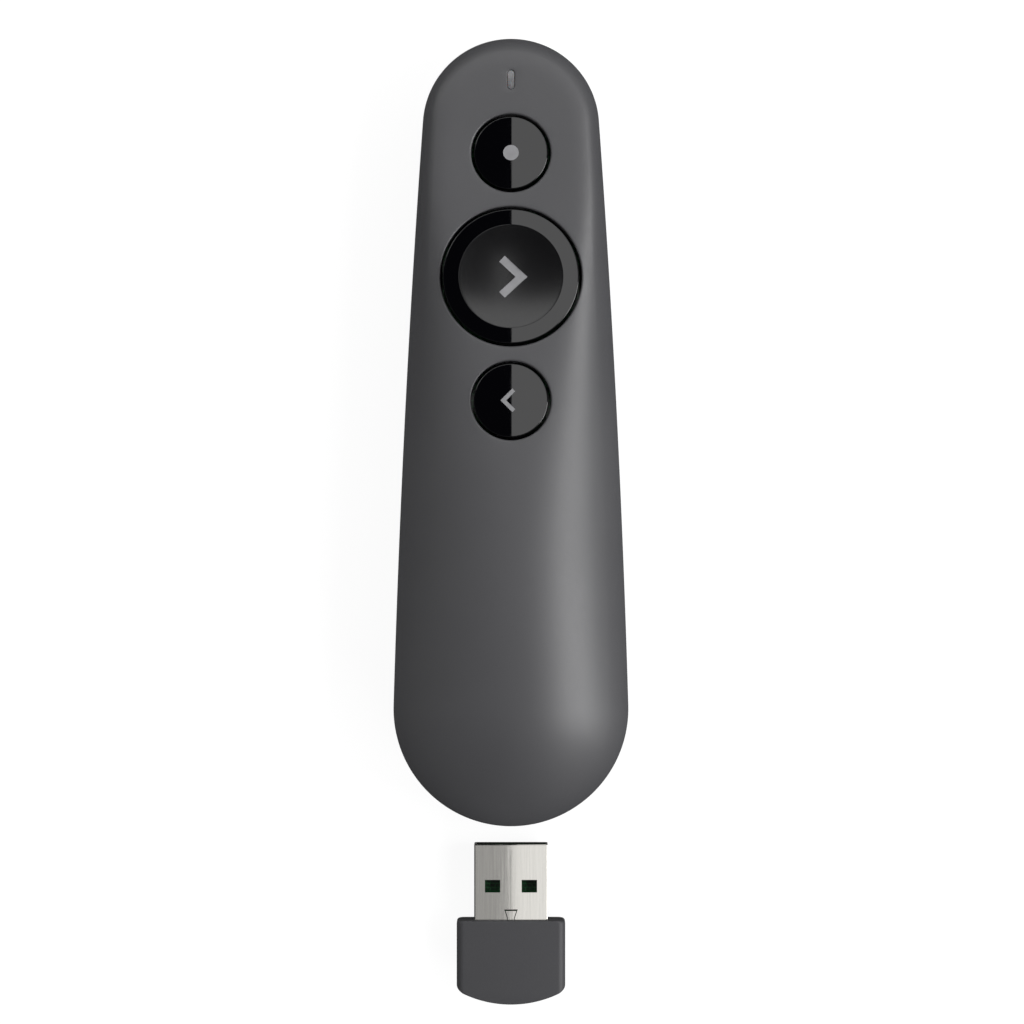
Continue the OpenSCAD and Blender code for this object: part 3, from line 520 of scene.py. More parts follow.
def plainPlastic(name, colour, shade, roughness, grain, index=1.5):
    # a moulded or cast plastic with cloudy colour and a fine skin; grain in mm
    return grained(name, grain, ((0.3, colour), (0.75, shade)), (0.0, 1.0, roughness - 0.06, roughness + 0.06),
                   (0.25, 0.006), {"IOR": index})


def clearPart(name, colour, roughness, index):
    # cast acrylic or glass: clear or smoked, polished, with a trace of haze
    return grained(name, 0.6, colour, (0.0, 1.0, roughness, roughness + 0.03), None,
                   {"IOR": index, "Transmission Weight": 1.0}, detail=2.0)


def turnedBrass():
    # brass bar turned on a lathe: warm, with rings of the tool's feed around the barrel
    material, tree, where = startMaterial("turnedBrass")
    rings = addNode(tree, "TexWave", {"Vector": where, "Scale": 1 / (2.4 * mm), "Distortion": 0.6, "Detail": 2.0},
                    bands_direction="Y").outputs[1]
    return endMaterial(material, "#C9A75A", (rings, 0.0, 1.0, 0.2, 0.34), (rings, 0.2, 0.01), metalLook)


def solderMask(name, pitch):
    # FR4 board under green solder mask: tracks show as paler, slightly raised lines, pitch mm apart
    material, tree, where = startMaterial(name)
    tracks = addNode(tree, "TexBrick", {
        "Vector": addNode(tree, "Mapping", {"Vector": where, "Scale": (1, 1, 0)}), "Scale": 1 / (pitch * mm),
        "Color1": "#0C3A1D", "Color2": "#0B351A", "Mortar": "#1A5A30", "Mortar Size": 0.045,
        "Mortar Smooth": 0.1, "Brick Width": 0.9, "Row Height": 0.4}, offset=0.35, squash=0.6, squash_frequency=3)
    weave = addNode(tree, "TexNoise", {"Vector": where, "Scale": 1 / (0.4 * mm), "Detail": 2.0})
    return endMaterial(material, tracks, (weave, 0.0, 1.0, 0.22, 0.38), (tracks.outputs[1], 0.5, 0.035),
                       {"IOR": 1.5})


def shrinkSleeve(front, back, bandFrom, bandTo):
    # printed PVC sleeve shrunk on a cell: semi-gloss, with one pale band at the positive end
    material, tree, where = startMaterial("shrinkSleeve")
    along = addNode(tree, "SeparateXYZ", {"Vector": where}).outputs["Y"]
    place = addNode(tree, "MapRange", {0: along, 1: bandFrom * mm, 2: bandTo * mm})
    band = tinted(addNode(tree, "ValToRGB", {"Fac": place}), (0.0, front), (0.5, back))
    band.color_ramp.interpolation = "CONSTANT"
    wrinkle = addNode(tree, "TexNoise", {"Vector": where, "Scale": 1 / (2.5 * mm), "Detail": 3.0})
    return endMaterial(material, band, (wrinkle, 0.0, 1.0, 0.22, 0.38), (wrinkle, 0.3, 0.03), {"IOR": 1.52})


shellAbs = mouldedAbs("sparkErodedAbs", "#343436", "#323234", 0.26, 0.012, 0.46)
receiverAbs = mouldedAbs("fineErodedAbs", "#29292B", "#27272A", 0.22, 0.010, 0.62)
frameAbs = mouldedAbs("plainMouldedAbs", "#2E2E30", "#29292B", 0.6, 0.010, 0.42)
# ABS from a polished mould: black and mirror-like, with hairline wipe marks only in its gloss
glossCap = grained("pianoBlackAbs", 0.5, "#020203", (0.35, 0.75, 0.005, 0.012), None, absLook,
                   stretch=(1, 0.08, 1), turn=0.6)
# the same black ABS in the thumb dish, blasted to a satin that smears its reflections
satinCap = grained("satinBlackAbs", 0.12, "#060607", (0.3, 0.7, 0.2, 0.27), None, absLook, detail=2.0)
# light grey ABS of the second shot, flush in the caps, with a slightly uneven colour
iconGrey = grained("lightGreyAbs", 1.2, ((0.35, "#646466"), (0.7, "#5D5D5F")), 0.45, None, absLook, detail=2.0)
# smoked polycarbonate of the light pipe: grey, a little deep, clear enough to glow when lit
pipeGrey = grained("smokedPolycarbonate", 0.8, ((0.3, "#464648"), (0.75, "#505052")), 0.22, None,
                   {"IOR": 1.58, "Subsurface Weight": 0.25, "Subsurface Scale": 0.0008}, detail=2.0)
plugNickel = platedSheet("rolledNickelSheet", "#CFCDC8", "#C4C2BD", 0.045, 0.25, (1, 0.03, 1))
springNickel = platedSheet("drawnSpringWire", "#C4C2BC", "#ABA9A3", 0.22, 0.3, None)
screwZinc = platedSheet("zincPlatedSteel", "#B9BBC0", "#9A9CA1", 0.28, 0.5, None)
barrelBrass = turnedBrass()
# gold flash over nickel on the contacts: warm and bright, worn duller in streaks
contactGold = grained("goldFlash", 0.3, ((0.3, "#E3B858"), (0.75, "#D2A548")), (0.0, 1.0, 0.18, 0.36), None,
                      metalLook, stretch=(1, 0.1, 1))
boardMask = solderMask("fr4SolderMask", 2.6)
tongueMask = solderMask("fr4ThinMask", 1.6)
chipEpoxy = plainPlastic("chipEpoxy", "#1B1B1D", "#232325", 0.55, 0.15)
switchNylon = plainPlastic("glassFilledNylon", "#202022", "#2A2A2C", 0.5, 0.3)
plungerAcetal = plainPlastic("whiteAcetal", "#E6E1D3", "#DCD6C6", 0.32, 1.5, 1.48)
carrierPbt = plainPlastic("blackPbt", "#101012", "#17171A", 0.42, 0.4)
ledResin = plainPlastic("ledResin", "#EDE7C4", "#E2DAA9", 0.25, 0.3, 1.54)
windowAcrylic = clearPart("smokedAcrylic", "#3A2426", 0.03, 1.49)
lensGlass = clearPart("lensGlass", "#F2F6F8", 0.01, 1.52)
print("finishes:", len(bpy.data.materials))


# ---- case ----

# sizes in mm; where the case lies comes from the frame
case = {
    "length": 127.0, "height": 24.27, "headRadius": 14.25, "tailRadius": 18.89, "sideRadius": 2200.0,
    "wall": 1.8, "seamTail": 15.0, "seamHead": 11.0, "seamRound": 0.3, "lip": 1.0, "lipPlay": 0.05,
    "bellyBlend": 8.0, "bellyPower": 2.6, "headRise": 2.0, "riseLength": 44.0,
    "deckTilt": 6.5, "crownRun": 33.0, "tailFullness": 2.2, "deckFullness": 14.0, "deckStart": -19.6,
    "deckBlend": 62.0, "crownPower": 0.8, "skirt": 0.6, "patchShare": 0.83,
    "laserFromHead": 18.95, "buttonPitch": 19.9, "deckBelowBack": 4.6, "lightFromHead": 7.05,
    "smallHole": 6.37, "largeHole": 11.32, "lightWidth": 1.2, "lightLength": 3.1,
    # how far the shell rolls over into each button hole and into the light's, and how deep
    "holeRound": 0.35, "holeDrop": 0.28, "lightRound": 0.22, "lightDrop": 0.14,
    # half the pitch of each pair of screws, and how far it lies ahead of the laser button, of the
    # tail arc's centre, of the back button and of the laser button
    "headScrews": (8.6, -8.2), "tailScrews": (11.5, 2.2), "rearBoardScrews": (9, 7.9), "frontBoardScrews": (7, 7.3),
    # bore and radius of the posts, and their low and high ends, those for the board from the deck
    "post": (0.92, 2.2), "headPost": (7.1, 17.5), "tailPost": (7.1, 19.6), "boardPost": (0.72, 1.8, -4.6, -1.2),
}
headTip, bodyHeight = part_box("top_shell")[1].y / mm, case["height"]
tailTip = headTip - case["length"]
wall, headRadius, tailRadius, sideRadius = (case[k] for k in ("wall", "headRadius", "tailRadius", "sideRadius"))
headY, tailY = headTip - headRadius, tailTip + tailRadius
laserY = headTip - case["laserFromHead"]
nextY = laserY - case["buttonPitch"]
backY = nextY - case["buttonPitch"]
lightY = headTip - case["lightFromHead"]
tilt = math.radians(case["deckTilt"])
deckY = backY - case["deckBelowBack"]
crownY = deckY - case["crownRun"]
crownBend = math.tan(tilt) / (2 * case["crownRun"])
deckZ = bodyHeight - crownBend * case["crownRun"] ** 2
sideY = (headY + tailY - (tailRadius - headRadius)
         * (2 * sideRadius - headRadius - tailRadius) / (headY - tailY)) / 2
sideX = math.sqrt((sideRadius - headRadius) ** 2 - (headY - sideY) ** 2)
headAngle = math.atan2(headY - sideY, sideX)
tailAngle = math.atan2(tailY - sideY, sideX)


def screwPair(name, start):
    half, ahead = case[name]
    return [(half, start + ahead), (-half, start + ahead)]


headSpots, tailSpots = screwPair("headScrews", laserY), screwPair("tailScrews", tailY)
boardSpots = screwPair("rearBoardScrews", backY) + screwPair("frontBoardScrews", laserY)


def rim(turn, inset):
    # a point of the outline where its normal points along turn
    if turn > headAngle:
        radius, x, y = headRadius, 0, headY
    elif turn < tailAngle:
        radius, x, y = tailRadius, 0, tailY
    else:
        radius, x, y = sideRadius, -sideX, sideY
    return x + (radius - inset) * math.cos(turn), y + (radius - inset) * math.sin(turn)


def spine(turn):
    return mix(tailY, headY, max(0.0, min(1.0, (turn - tailAngle) / (headAngle - tailAngle))))


def seamHeight(y):
    return mix(case["seamTail"], case["seamHead"], (y - tailTip) / case["length"])


def ridge(y):
    if y < deckY:
        return bodyHeight - crownBend * (y - crownY) ** 2
    return deckZ - math.tan(tilt) * (y - deckY)


def backRise(y):
    start = headTip - case["riseLength"]
    return case["headRise"] * (max(0.0, y - start) / case["riseLength"]) ** 2


def crown(y, share, depth):
    # the dome over the tail turns into the flat deck with its tight shoulders
    turned = ease((y - deckY - case["deckStart"]) / case["deckBlend"])
    full = 1 / mix(1 / case["tailFullness"], 1 / case["deckFullness"], turned)
    foot = seamHeight(y) + case["skirt"]
    return foot + (ridge(y) - depth - foot) * max(0.0, 1 - share ** full) ** case["crownPower"]


def shareAt(x, y, inset):
    # how far a point in plan is from the spine to the rim
    x = abs(x)
    if math.atan2(y - headY, x) >= headAngle:
        return math.hypot(x, y - headY) / (headRadius - inset)
    if math.atan2(y - tailY, x) <= tailAngle:
        return math.hypot(x, y - tailY) / (tailRadius - inset)
    turn = mix(tailAngle, headAngle, (y - tailY) / (headY - tailY))
    for step in range(4):
        edge = rim(turn, inset)
        share = x / edge[0]
        turn += (y - mix(spine(turn), edge[1], share)) / (headY - tailY) * (headAngle - tailAngle)
    return share


def deckPoint(centre, x, along, height):
    # from the deck's own frame at a button to the row frame
    return (x, centre + along * math.cos(tilt) + height * math.sin(tilt),
            ridge(centre) - along * math.sin(tilt) + height * math.cos(tilt))


halfTurns = [mix(start, end, i / count) for start, end, count, steps in (
    (math.pi / 2, headAngle, 36, 36), (headAngle, tailAngle, 64, 64), (tailAngle, -math.pi / 2, 40, 41))
    for i in range(steps)]
ringCount = 2 * len(halfTurns) - 2


def ring(place):
    # clockwise from the head tip, seen from above
    right = [place(turn) for turn in halfTurns]
    return right + [(-x, y, z) for x, y, z in reversed(right[1:-1])]


def crownRing(share, depth):
    def place(turn):
        edge = rim(turn, depth)
        y = mix(spine(turn), edge[1], share)
        return edge[0] * share, y, crown(y, share, depth)
    return ring(place)


def seamRing(inset, lift):
    def place(turn):
        x, y = rim(turn, inset)
        return x, y, seamHeight(y) + lift
    return ring(place)


def bellyRing(step, depth):
    def place(turn):
        x, y = rim(turn, depth + step * (case["bellyBlend"] - depth))
        low = backRise(y) + depth
        power = case["bellyPower"]
        share = (1 - (1 - step) ** power) ** (1 / power)
        return x, y, low + (seamHeight(y) - low) * (1 - share)
    return ring(place)


def seamRounds(side):
    # the rounded edge of a shell at the seam, above it or below
    reach = case["seamRound"]
    return [seamRing(reach * (1 - math.cos(a)), side * reach * (1 - math.sin(a)))
            for a in (0.0, 0.4, 0.8, 1.2, math.pi / 2)]


def stadium(width, length, count, offset=0.0):
    # (x, y) around a slot along Y, counter-clockwise
    radius, straight = width / 2, (length - width) / 2
    return [((radius + offset) * math.cos(angle),
             (radius + offset) * math.sin(angle) + math.copysign(straight, math.sin(angle + 1e-9)))
            for angle in angles(count)]


def makeCaseTop():
    patchShare, rolled = case["patchShare"], case["holeRound"]
    holes = [(laserY, case["smallHole"]), (nextY, case["largeHole"]), (backY, case["smallHole"])]
    holePoints, lightPoints = 96, 32
    # shares of each roll at which there is a loop, from the hole's edge outwards
    holeSteps, lightSteps = (0.0, 0.03, 0.1, 0.22, 0.38, 0.58, 0.8, 1.0), (0.0, 0.1, 0.4, 1.0)

    def sunk(share, depth):
        return depth * (1 - math.sqrt(max(0.0, 1 - (1 - share) ** 2)))

    outline = [(x, y) for x, y, z in crownRing(patchShare, 0)]
    loops, sinks = [], []
    for centre, radius in holes:
        for step in holeSteps:
            reach = radius + step * rolled
            loops.append([deckPoint(centre, reach * math.cos(a), reach * math.sin(a), 0)[:2]
                          for a in angles(holePoints)])
            sinks += [sunk(step, case["holeDrop"])] * holePoints
    for step in lightSteps:
        slot = stadium(case["lightWidth"], case["lightLength"], lightPoints, step * case["lightRound"])
        loops.append([deckPoint(lightY, x, y, 0)[:2] for x, y in slot])
        sinks += [sunk(step, case["lightDrop"])] * lightPoints
    loose, rowPitch, columnPitch, shift, clear = [], 1.1, 1.15, 0.57, 0.35
    for row in range(int((headTip - tailTip) / rowPitch)):
        for column in range(-14, 15):
            x, y = column * columnPitch + (row % 2) * shift, tailTip + row * rowPitch
            inHole = any(math.hypot(x, y - c) < r + rolled + clear for c, r in holes)
            inSlot = math.hypot(x, max(0.0, abs(y - lightY) - 1)) < case["lightWidth"]
            if shareAt(x, y, 0) <= patchShare - 0.03 and not inHole and not inSlot:
                loose.append((x, y))

    def keep(x, y):
        # a little inside each loop, because its chords cut the round
        if shareAt(x, y, 0) > patchShare or any(
                math.hypot(x, (y - c) / math.cos(tilt)) < r * 0.9991 for c, r in holes):
            return False
        return math.hypot(x, max(0.0, abs(y - lightY) / math.cos(tilt) - 0.95)) > case["lightWidth"] / 2 * 0.998

    faces = filled(outline, loops, loose, keep)
    # the inner skin has the same triangles; its holes follow the deck's tilt
    patch, inside, start = [], [], len(outline)
    for i, (x, y) in enumerate(outline + [p for loop in loops for p in loop] + loose):
        onLoop = 0 <= i - start < len(sinks)
        patch.append((x, y, crown(y, shareAt(x, y, 0), 0) - (sinks[i - start] if onLoop else 0.0)))
        y -= wall * math.sin(tilt) if onLoop else 0.0
        inside.append((x, y, crown(y, min(1.0, shareAt(x, y, wall)), wall)))
    count = len(patch)
    faces += [tuple(count + i for i in reversed(face)) for face in faces]
    # walls of the holes
    for size, loopCount in [(holePoints, len(holeSteps))] * 3 + [(lightPoints, len(lightSteps))]:
        for i in range(size):
            a, b = start + i, start + (i + 1) % size
            faces.append((b, a, count + a, count + b))
        start += size * loopCount
    # rings from the patch down the flank, round the seam's edge, over the lip and up inside
    shares = [patchShare] + [patchShare + (1 - patchShare) * (1 - (1 - i / 15) ** 1.7) for i in range(1, 16)]
    lip, play = case["lip"], case["lipPlay"]
    skin = bands([crownRing(share, 0) for share in shares] + seamRounds(1)
                 + [seamRing(wall / 2 + play, 0), seamRing(wall / 2 + play, lip + 2 * play),
                    seamRing(wall, lip + 3 * play)]
                 + [crownRing(share, wall) for share in (1.0, 0.985, 0.96)] + [inside[:len(outline)]])
    posts = [shifted(tube(*case["post"], *case[name]), x, y)
             for name, spots in (("headPost", headSpots), ("tailPost", tailSpots)) for x, y in spots]
    posts += [moved(tube(*case["boardPost"]), lambda p, x=x, y=y: deckPoint(y, p[0] + x, p[1], p[2]))
              for x, y in boardSpots]
    piece = pieceFrom("caseTop", *joined(skin, (patch + inside, faces), *posts), [shellAbs], 50)
    rework(piece.data, lambda work: bmesh.ops.remove_doubles(work, verts=work.verts, dist=1e-6))
    settle(smooth(piece, 50), "case", "shell", "top_shell")


makeCaseTop()
print("case: top shell")


# ---- bottom shell and battery door ----

bay = {
    # mm
    "dockWall": 1.2, "dockPlay": 0.3, "housingWidth": 17.7, "housingHeight": 6.9,
    "plugWidth": 12.0, "plugHeight": 4.5, "plugLength": 12.4, "doorGap": 0.3, "floor": 3.4,
    "hingeZ": 1.35, "hingeRadius": 1.2, "hingePin": 0.6, "pinHole": 0.65, "hingeHalf": 9.0, "pinHalf": 10.5,
    "lugs": (9.3, 11.3),   # from the middle line
    "notch": (11, 1.99),   # middle and half width of the door's cut corners, where the lugs are
    "catch": (4, 0.6, 1.8, 1),       # half width, both ends from the door's edge, and height
    "cellRib": (5.6, 0.6, 8, 6),     # middle, half width, and its ends from the door's edge and the hinge
    # broken edge round the dock, the door's opening and the door
    "edge": 0.25, "doorwayEdge": 0.12, "doorEdge": 0.18,
    "gripStart": 2.4,      # from the door's edge to the first groove of the thumb grip
    "gripGrooves": 5, "gripPitch": 1.3, "grooveWidth": 0.6, "gripDepth": 0.35, "gripHalf": 5.0, "ribRound": 0.12,
    "footRadius": 2.9, "footTop": 7.0, "headBore": 2.05, "headDepth": 2.2, "shankBore": 1.1,
    "barrelBore": 3.03, "barrelLength": 14, "barrelBack": 1.4, "barrelLift": 3.15, "windowBore": 2.42,
    "windowBevel": (2.9, 0.62, 0.55),      # radius, run, and where it starts behind the head's tip
    "cradles": (11, 2.6), "cradle": (4.4, 1.6),      # places behind the barrel's end, half width and thickness
}
doorLow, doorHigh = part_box("battery_door")
doorStart, doorEnd, doorHalf = doorLow.y / mm, doorHigh.y / mm, doorHigh.x / mm
hingeY, holeEnd = doorEnd - bay["hingeRadius"], doorEnd + bay["doorGap"]
joints = {joint["name"]: joint for joint in frame["joints"]}
stowTravel = joints["receiver_stow"]["range_m"][1] / mm
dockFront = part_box("receiver_housing")[1].y / mm + stowTravel + bay["dockPlay"]
pocketFront = dockFront + bay["plugLength"]
plugZ = bay["housingHeight"] / 2


def bellySkin():
    # the closed wall of the bottom half, from the back's middle out, over the lip and in again
    lip, play = case["lip"], case["lipPlay"]
    rings = ([bellyRing((i / 22) ** 1.5, 0) for i in range(22, 0, -1)] + seamRounds(-1)
             + [seamRing(wall / 2 + 2 * play, 0), seamRing(wall / 2 + 2 * play, lip - 3 * play),
                seamRing(wall / 2 + 5 * play, lip), seamRing(wall, lip)]
             + [bellyRing((i / 12) ** 1.5, wall) for i in range(13)])
    points, faces = bands(rings)
    # bands() runs from the top of the case down; here the rings go the other way round
    faces = [tuple(reversed(face)) for face in faces]
    reach, pitch = case["bellyBlend"], 2.5
    for which, depth, flip in ((0, 0, True), (len(rings) - 1, wall, False)):
        loose = [(column * pitch, tailTip + row * pitch) for row in range(int(case["length"] / pitch))
                 for column in range(-5, 6)]
        loose = [(x, y) for x, y in loose if shareAt(x, y, reach) < 0.93]
        cap = filled([(x, y) for x, y, z in rings[which]], [], loose, lambda x, y: shareAt(x, y, reach) < 1.0)
        start, base = len(points), which * ringCount
        points += [(x, y, backRise(y) + depth) for x, y in loose]
        for face in cap:
            ids = [base + i if i < ringCount else start + i - ringCount for i in face]
            faces.append(tuple(reversed(ids)) if flip else tuple(ids))
    return points, faces


def flared(low, high, edge):
    # a box whose lowest end spreads by edge just below the back, to break the opening's corner
    (ax, ay, az), (bx, by, bz) = low, high
    return tiers(*[(ax - grow, ay - grow, bx + grow, by + grow, z) for z, grow in (
        (az, edge + 0.5), (-0.25, edge + 0.25), (edge, 0.0), (bz, 0.0))])


def shapeOf(piece):
    # a piece's points and faces, in mm, and the piece is gone
    points = [tuple(c / mm for c in vertex.co) for vertex in piece.data.vertices]
    faces = [tuple(face.vertices) for face in piece.data.polygons]
    bpy.data.objects.remove(piece)
    return points, faces


def makeCaseBottom():
    piece = pieceFrom("caseBottom", *bellySkin(), [shellAbs], 40)
    play, thick, tall = bay["dockPlay"], bay["dockWall"], bay["housingHeight"]
    half, plugHalf, plugRise = bay["housingWidth"] / 2 + play, bay["plugWidth"] / 2 + play, bay["plugHeight"] / 2
    # the dock's walls end inside the skin, so they are trimmed to a slightly smaller belly first
    points, faces = bands([bellyRing((i / 14) ** 1.5, wall / 2) for i in range(14, -1, -1)])
    core = points, [tuple(reversed(face)) for face in faces] + [
        tuple(range(ringCount)), tuple(reversed(range(len(points) - ringCount, len(points))))]
    walls = pieceFrom("dockWalls", *box((-half - thick, tailTip - 1, wall / 2),
                                        (half + thick, dockFront + thick, tall + play + thick)))
    carve(walls, "INTERSECT", [core])
    pocket = box((-plugHalf - thick, dockFront, wall / 2),
                 (plugHalf + thick, pocketFront + thick, plugZ + plugRise + 0.3 + thick))
    radius, top, low = bay["footRadius"], bay["footTop"], wall * 0.7
    foot = lathe([(0, low), (radius, low), (radius, top - 0.25), (radius - 0.25, top), (0, top)], 48)
    spots = headSpots + tailSpots
    barrelZ = backRise(headTip - 4) + wall + bay["barrelLift"]
    barrelEnd = headTip - wall - bay["barrelBack"]
    side, thin = bay["cradle"]
    cradles = [box((-side, y, backRise(y) + low), (side, y + thin, barrelZ))
               for y in (barrelEnd - back for back in bay["cradles"])]
    carve(piece, "UNION", [shapeOf(walls), pocket] + [shifted(foot, x, y) for x, y in spots] + cradles)
    gap, bore, (wide, run, behind) = bay["doorGap"], bay["windowBore"], bay["windowBevel"]
    cuts = [flared((-half, tailTip - 5, -1), (half, dockFront, tall + play), bay["edge"]),
            box((-plugHalf, tailTip, plugZ - plugRise - 0.3), (plugHalf, pocketFront, plugZ + plugRise + 0.3)),
            flared((-doorHalf - gap, doorStart - gap, -1), (doorHalf + gap, holeEnd, bay["floor"] - 0.1),
                   bay["doorwayEdge"]),
            rodAlongY(bay["barrelBore"], barrelEnd - bay["barrelLength"], barrelEnd, barrelZ),
            rodAlongY(bore, headTip - wall - 2, headTip + 2, barrelZ),
            # a shallow bevel round the laser's window
            moved(lathe([(0, 0), (bore, 0), (wide, run), (wide, 4), (0, 4)], 52),
                  lambda p: (p[0], headTip - behind + p[2], barrelZ - p[1]))]
    head, deep, shank = bay["headBore"], bay["headDepth"], bay["shankBore"]
    recess = lathe([(0, -1), (head + 1.3, -1), (head, 0.3), (head, deep), (shank, deep), (shank, 8), (0, 8)], 52)
    carve(piece, "DIFFERENCE", cuts + [shifted(recess, x, y) for x, y in spots])
    near, far = bay["lugs"]
    lugs = pieceFrom("lugs", *joined(*[
        box((low, hingeY - bay["hingeRadius"], 0.5), (high, holeEnd + 2, bay["floor"] - 0.1))
        for low, high in ((near, far), (-far, -near))]))
    carve(lugs, "DIFFERENCE", [rodAlongX(bay["pinHole"], -13, 13, hingeY, bay["hingeZ"], 32)])
    absorb(piece, softened(lugs, 0.15))
    settle(smooth(piece, 32), "case", "shell", "bottom_shell")


def makeBatteryDoor():
    piece = pieceFrom("batteryDoor", *bellySkin(), [shellAbs], 40)
    half, start, edge, floor = doorHalf, doorStart, bay["doorEdge"], bay["floor"]
    # the block that keeps the door has its own broken edge at the back
    carve(piece, "INTERSECT", [tiers(*[
        (-half + pull, start + pull, half - pull, hingeY - 0.8, z)
        for z, pull in ((-0.5, 0.5 + edge), (0.0, edge), (edge, 0.0), (floor - 0.3, 0.0))])])
    middle, wide = bay["notch"]
    corners = [box((x - wide, hingeY - bay["hingeRadius"] - 1, -1), (x + wide, hingeY + 0.1, floor))
               for x in (middle, -middle)]
    grip, long = start + bay["gripStart"], (bay["gripGrooves"] - 1) * bay["gripPitch"] + bay["grooveWidth"]
    recess = flared((-bay["gripHalf"], grip, -1), (bay["gripHalf"], grip + long, bay["gripDepth"]), 0.1)
    carve(piece, "DIFFERENCE", corners + [recess])
    (catch, near, far, high), (ribX, thin, back, ahead) = bay["catch"], bay["cellRib"]
    extra = pieceFrom("doorParts", *joined(
        rodAlongX(bay["hingeRadius"], -bay["hingeHalf"], bay["hingeHalf"], hingeY, bay["hingeZ"], 48, 0.12),
        rodAlongX(bay["hingePin"], -bay["pinHalf"], bay["pinHalf"], hingeY, bay["hingeZ"], 32, 0.1),
        box((-catch, start + near, wall - 0.2), (catch, start + far, wall + high)),
        *[box((x - thin, start + back, wall - 0.2), (x + thin, hingeY - ahead, wall + 0.35))
          for x in (-ribX, ribX)]))
    absorb(piece, softened(extra, 0.12))
    settle(smooth(piece, 32), "door", "shell", "battery_door")


def ribTree():
    # the same rounded rib at each step of a line along Y
    tree, given = geometryTree("gripRibs", Int="Count", Float="Pitch, Length, Width, Height, Round",
                               Vector="Place", Material="Finish")
    spine = addNode(tree, "GeometryNodeCurvePrimitiveLine",
                    {"End": addNode(tree, "CombineXYZ", {"X": given["Length"]})})
    section = addNode(tree, "GeometryNodeCurvePrimitiveQuadrilateral",
                      {"Width": given["Width"], "Height": given["Height"]})
    rounded = addNode(tree, "GeometryNodeFilletCurve", {"Curve": section, "Radius": given["Round"], "Count": 4},
                      mode="POLY")
    rib = addNode(tree, "GeometryNodeCurveToMesh", {"Curve": spine, "Profile Curve": rounded, "Fill Caps": True})
    row = addNode(tree, "GeometryNodeMeshLine", {"Count": given["Count"], "Start Location": given["Place"],
                                                 "Offset": addNode(tree, "CombineXYZ", {"Y": given["Pitch"]})})
    put = addNode(tree, "GeometryNodeInstanceOnPoints", {"Points": row, "Instance": rib})
    return endTree(tree, put, (given["Finish"], True))


def makeGripRibs():
    # what is left standing between the grooves of the door's thumb grip, flush with the back
    width, high, inDoor = bay["gripPitch"] - bay["grooveWidth"], bay["gripDepth"] + 0.1, 0.15
    first = doorStart + bay["gripStart"] + bay["grooveWidth"] + width / 2
    piece = growPiece("gripRibs", ribTree(), {
        "Count": bay["gripGrooves"] - 1, "Pitch": bay["gripPitch"] * mm,
        "Length": 2 * (bay["gripHalf"] + inDoor) * mm,
        "Width": width * mm, "Height": high * mm, "Round": bay["ribRound"] * mm,
        "Place": (-(bay["gripHalf"] + inDoor) * mm, first * mm, high / 2 * mm), "Finish": shellAbs})
    settle(smooth(piece, 40), "door", "shell")


makeCaseBottom()
makeBatteryDoor()
makeGripRibs()
print("case: bottom shell and battery door")


# ---- buttons and icons ----

buttons = {
    # mm; heights are from the deck's surface
    "smallRadius": 5.9, "largeRadius": 10.85, "rise": 0.2, "edgeRound": 0.16,
    "dishRadius": 8.3, "dishDepth": 0.8, "dishLip": 0.04, "stemRadius": 1.3, "stemBottom": -2.7,
    "skirtBottom": -2.8, "skirtWall": 0.85, "thickness": 1.4,
    "tabWidth": 5, "tabReach": 0.9, "tabHeight": 0.7, "tabZ": -2.45,
    "iconProud": 0.015, "iconDepth": 0.25, "iconMesh": 0.35,
    "dot": 1.25,
    # height, stroke, half opening in degrees, and what share of the height the tip is off the middle
    "nextIcon": (6.8, 1.3, 43, 0.39), "backIcon": (3.8, 0.65, 45, 0.44),
}
dishBend = (buttons["dishRadius"] ** 2 + buttons["dishDepth"] ** 2) / (2 * buttons["dishDepth"])


def flat(radius):
    return buttons["rise"]


def dishHeight(radius):
    if radius >= buttons["dishRadius"]:
        return buttons["rise"]
    return buttons["rise"] - buttons["dishDepth"] + dishBend - math.sqrt(dishBend ** 2 - radius ** 2)


